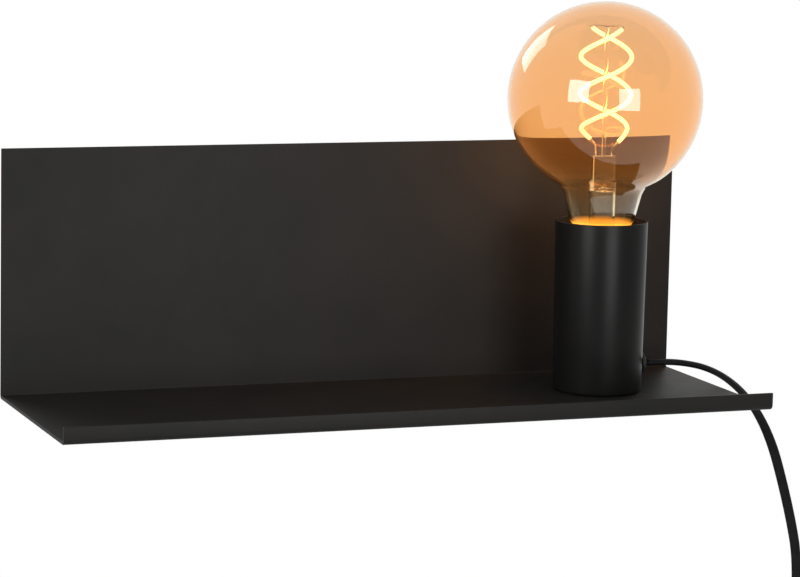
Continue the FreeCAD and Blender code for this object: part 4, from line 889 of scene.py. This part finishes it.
# The glass below the neck: a short tube in the cap, and a small step out above the cap's rim.
TUBE_RADIUS, TUBE_FOOT, TUBE_TOP = 11.5, 73.8, 78.1
STEP_OUT, STEP_UP = 1.6, 2.2
SHOULDER_STEPS, BELLY_STEPS, CROWN_STEPS = 10, 16, 24


def arc(hub, begin, end, steps):
    """Points of the short arc from begin to end about a hub, in the outline's plane."""
    first = begin - hub
    turn = first.angle(end - hub)
    axis = first.cross(end - hub).normalized()
    return [hub + Matrix.Rotation(turn * n / steps, 3, axis) @ first for n in range(1, steps + 1)]


def globe_outline():
    """The glass from its tube up to the crown; the shoulder's arc touches neck and globe."""
    centre = Vector((0, 0, GLOBE_CENTRE))
    up_neck = Vector((math.cos(NECK_SLOPE), 0, math.sin(NECK_SLOPE)))
    off_neck = Vector((math.sin(NECK_SLOPE), 0, -math.cos(NECK_SLOPE)))
    knee = Vector((NECK_RADIUS, 0, NECK_AT))
    base = knee + off_neck * SHOULDER_RADIUS - centre
    half = base.dot(up_neck)
    travel = -half - math.sqrt(half * half - base.dot(base) + (GLOBE_RADIUS + SHOULDER_RADIUS) ** 2)
    hub = centre + base + up_neck * travel
    neck_end = knee + up_neck * travel
    touch = centre + (hub - centre).normalized() * GLOBE_RADIUS
    side, crown = centre + Vector((GLOBE_RADIUS, 0, 0)), centre + Vector((0, 0, GLOBE_RADIUS))
    foot, top = Vector((TUBE_RADIUS, 0, TUBE_FOOT)), Vector((TUBE_RADIUS, 0, TUBE_TOP))
    step = top + Vector((STEP_OUT, 0, STEP_UP))
    shoulder = arc(hub, neck_end, touch, SHOULDER_STEPS)
    belly, dome = arc(centre, touch, side, BELLY_STEPS), arc(centre, side, crown, CROWN_STEPS)
    return [foot, top, step, knee, neck_end, *shoulder, *belly, *dome]


def model_globe():
    """The glass envelope, spun about the holder's axis and thickened inwards."""
    outline = [HOLDER + point for point in globe_outline()]
    outline[-1].x = HOLDER.x
    globe = spin_outline("amber_globe", outline, (HOLDER, Vector((0, 0, 1))))
    modify(globe, "SOLIDIFY", thickness=GLASS_WALL * MM, offset=-1)
    globe.visible_shadow = False
    return dress(globe, "amber_glass", "bulb", "bulb_glass", smooth=50)


model_globe()

# %% [markdown]
# ## Softer edges for the mouldings and stampings
#
# A solid from CAD has knife-sharp edges, and real mouldings and stampings never do: a mould is cut
# with a small radius, and a punched strip is tumbled. A copy of each such piece is merged into one
# clean skin, its flat faces are joined again, and every sharp edge gets a small bevel.

# %% Round the sharp edges on copies
SOFT_EDGES = {
    # node: body, slot, rounding in mm
    "switch_front": ("lamp", "black_gloss", 0.9),
    "switch_back": ("lamp", "black_gloss", 0.9),
    "switch_rocker": ("rocker", "black_rocker", 0.35),
    "plug_body": ("lamp", "black_gloss", 1.3),
    "coil_tie": ("lamp", "tie_band", 0.25),
    "wall_rail": ("wall", "zinc_steel", 0.25),
    "hanger_strip": ("lamp", "black_sheet", 0.25),
}
SHARP, FLAT = math.radians(28), math.radians(0.5)


def soften(name, body, slot, width):
    """A copy of a CAD node with its flat faces joined and its sharp edges rounded."""
    piece = bpy.data.objects.new(name + "_rounded", nodes[name].data.copy())
    bpy.context.scene.collection.objects.link(piece)
    only(piece)
    bpy.ops.mesh.customdata_custom_splitnormals_clear()
    bpy.ops.object.mode_set(mode="EDIT")
    bpy.ops.mesh.select_mode(type="VERT")
    bpy.ops.mesh.select_all(action="SELECT")
    bpy.ops.mesh.remove_doubles(threshold=WELD)
    bpy.ops.mesh.dissolve_limited(angle_limit=FLAT)
    bpy.ops.object.mode_set(mode="OBJECT")
    modify(piece, "BEVEL", width=width * MM, segments=EDGE_STEPS, limit_method="ANGLE",
           angle_limit=SHARP)
    return dress(piece, slot, body, name, smooth=40)


rounded = {name: soften(name, body, slot, width) for name, (body, slot, width) in SOFT_EDGES.items()}

# %% [markdown]
# ## Every CAD piece gets its finish
#
# The record names a material slot for each node. Where a node stays in view, its own object takes the
# finish of that slot, and the cords take the sheath.

# %% Hand out the finishes
for row in frame["record"]["subparts"]:
    for place in nodes[row["node"]].material_slots:
        place.material = finishes[row["material_slot"]].material
for piece, slot in ((drop_cord, "black_cord"), (lead_cord, "black_cord"), (plug_sleeve, "black_gloss")):
    piece.data.materials.append(finishes[slot].material)

# %% [markdown]
# The first hangs from the gland to the switch, and the second ends in the plug.

ALONG_THE_LEAD = ("coil_tie", "plug_body", "switch_front", "switch_back", "switch_rocker")
lead_pieces = [plug_sleeve, nodes["plug_pins"], nodes["pin_sleeves"]]
lead_pieces += [rounded[name] for name in ALONG_THE_LEAD]
print("2 cords declared,", len(lead_pieces), "pieces lie along the second")

# %% [markdown]
# ## Studio
#
# The world is white to the camera, to gloss and to glass, and lights the lamp at a low plain level. The
# floor does the same for gloss and glass. The camera doesn't see it, so it hides nothing from below.
# Two square softboxes stand in front, and their reflections are the two bright squares on the globe.
# Inside the globe a small warm lamp does what the glowing strands do in the real one: it warms the
# plate behind the cup and the shelf beside it.

# %% Floor and white surround
FLOOR_AT, FLOOR_HALF = -0.42, 15
SKY_LEVEL, WHITE_LEVEL = 0.08, 1
PAPER_GREY, PAPER_ROUGH = 0.9, 0.9


def white_or_lit(tree, white, lit):
    """Picks the white side for camera, glossy and transmission rays, and the lit side for the rest."""
    path = tree.nodes.new("ShaderNodeLightPath")
    picked = path.outputs["Is Camera Ray"]
    for kind in ("Is Glossy Ray", "Is Transmission Ray"):
        either = tree.nodes.new("ShaderNodeMath")
        either.operation = "MAXIMUM"
        tree.links.new(picked, either.inputs[0])
        tree.links.new(path.outputs[kind], either.inputs[1])
        picked = either.outputs[0]
    choice = tree.nodes.new("ShaderNodeMixShader")
    for socket, value in zip(choice.inputs, (picked, lit.outputs[0], white.outputs[0])):
        tree.links.new(value, socket)
    return choice.outputs[0]


def build_world():
    """A surround that is plain white to look at and gives only a little light."""
    world = bpy.data.worlds.new("studio")
    bpy.context.scene.world = world
    world.use_nodes = True
    tree = world.node_tree
    lit, white = tree.nodes["Background"], tree.nodes.new("ShaderNodeBackground")
    for side, level in ((lit, SKY_LEVEL), (white, WHITE_LEVEL)):
        side.inputs["Color"].default_value = (1, 1, 1, 1)
        side.inputs["Strength"].default_value = level
    tree.links.new(white_or_lit(tree, white, lit), tree.nodes["World Output"].inputs["Surface"])


def build_floor():
    """A wide floor below the cord, out of the camera's sight."""
    bpy.ops.mesh.primitive_plane_add(size=2 * FLOOR_HALF, location=(0, 0, FLOOR_AT))
    floor = bpy.context.active_object
    floor.name = "studio_floor"
    material = bpy.data.materials.new("studio_floor")
    material.use_nodes = True
    tree = material.node_tree
    paper = tree.nodes["Principled BSDF"]
    paper.inputs["Base Color"].default_value = (PAPER_GREY, PAPER_GREY, PAPER_GREY, 1)
    paper.inputs["Roughness"].default_value = PAPER_ROUGH
    shine = tree.nodes.new("ShaderNodeEmission")
    shine.inputs["Strength"].default_value = WHITE_LEVEL
    tree.links.new(white_or_lit(tree, shine, paper), tree.nodes["Material Output"].inputs["Surface"])
    floor.data.materials.append(material)
    floor.visible_camera = False
    floor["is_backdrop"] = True


build_world()
build_floor()
print(f"floor at {FLOOR_AT} m, sky level {SKY_LEVEL}")

# %% Softboxes and the warm lamp
BULB_MIDDLE = (HOLDER + Vector((0, 0, GLOBE_CENTRE))) * MM
BOX_SIDE, BOX_AWAY = 0.65, 1.5
BOXES = (
    # azimuth and elevation in degrees, watts
    (-56, 12, 17),
    (4, 4, 15),
    (205, 25, 6),
)
WARM_WATTS, WARM_COLOUR, WARM_RADIUS = 0.9, (1.0, 0.40, 0.07), 0.012


def add_softbox(azimuth, elevation, watts):
    """A square area lamp that faces the globe; azimuth 0 stands straight in front of the wall."""
    turn, rise = math.radians(azimuth), math.radians(elevation)
    towards = Vector((math.sin(turn) * math.cos(rise), -math.cos(turn) * math.cos(rise), math.sin(rise)))
    lamp = bpy.data.lights.new("softbox", "AREA")
    lamp.size, lamp.energy = BOX_SIDE, watts
    box = bpy.data.objects.new("softbox", lamp)
    facing = towards.to_track_quat("Z", "Y").to_matrix().to_4x4()
    box.matrix_world = Matrix.Translation(BULB_MIDDLE + towards * BOX_AWAY) @ facing
    box.visible_camera = box.visible_transmission = False
    bpy.context.scene.collection.objects.link(box)


for place_and_power in BOXES:
    add_softbox(*place_and_power)

warm = bpy.data.lights.new("strand_light", "POINT")
warm.energy, warm.color, warm.shadow_soft_size = WARM_WATTS, WARM_COLOUR, WARM_RADIUS
glow_lamp = bpy.data.objects.new("strand_light", warm)
glow_lamp.location = BULB_MIDDLE
glow_lamp.visible_camera = glow_lamp.visible_transmission = glow_lamp.visible_glossy = False
bpy.context.scene.collection.objects.link(glow_lamp)
bpy.context.scene.view_settings.view_transform = "Standard"
print(len(BOXES), "softboxes and a warm lamp of", WARM_WATTS, "W")

# %% [markdown]
# ## The size
#
# The CAD model's box and the dressed lamp's box are both printed. The dressed lamp has to stay
# inside the CAD model's box.

# %% Measure both boxes
dressed_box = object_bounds()
boxes = {"cad": [list(corner) for corner in cad_box], "visual": [list(corner) for corner in dressed_box]}
for name, box in boxes.items():
    print(name, [[round(side / MM, 1) for side in corner] for corner in box])
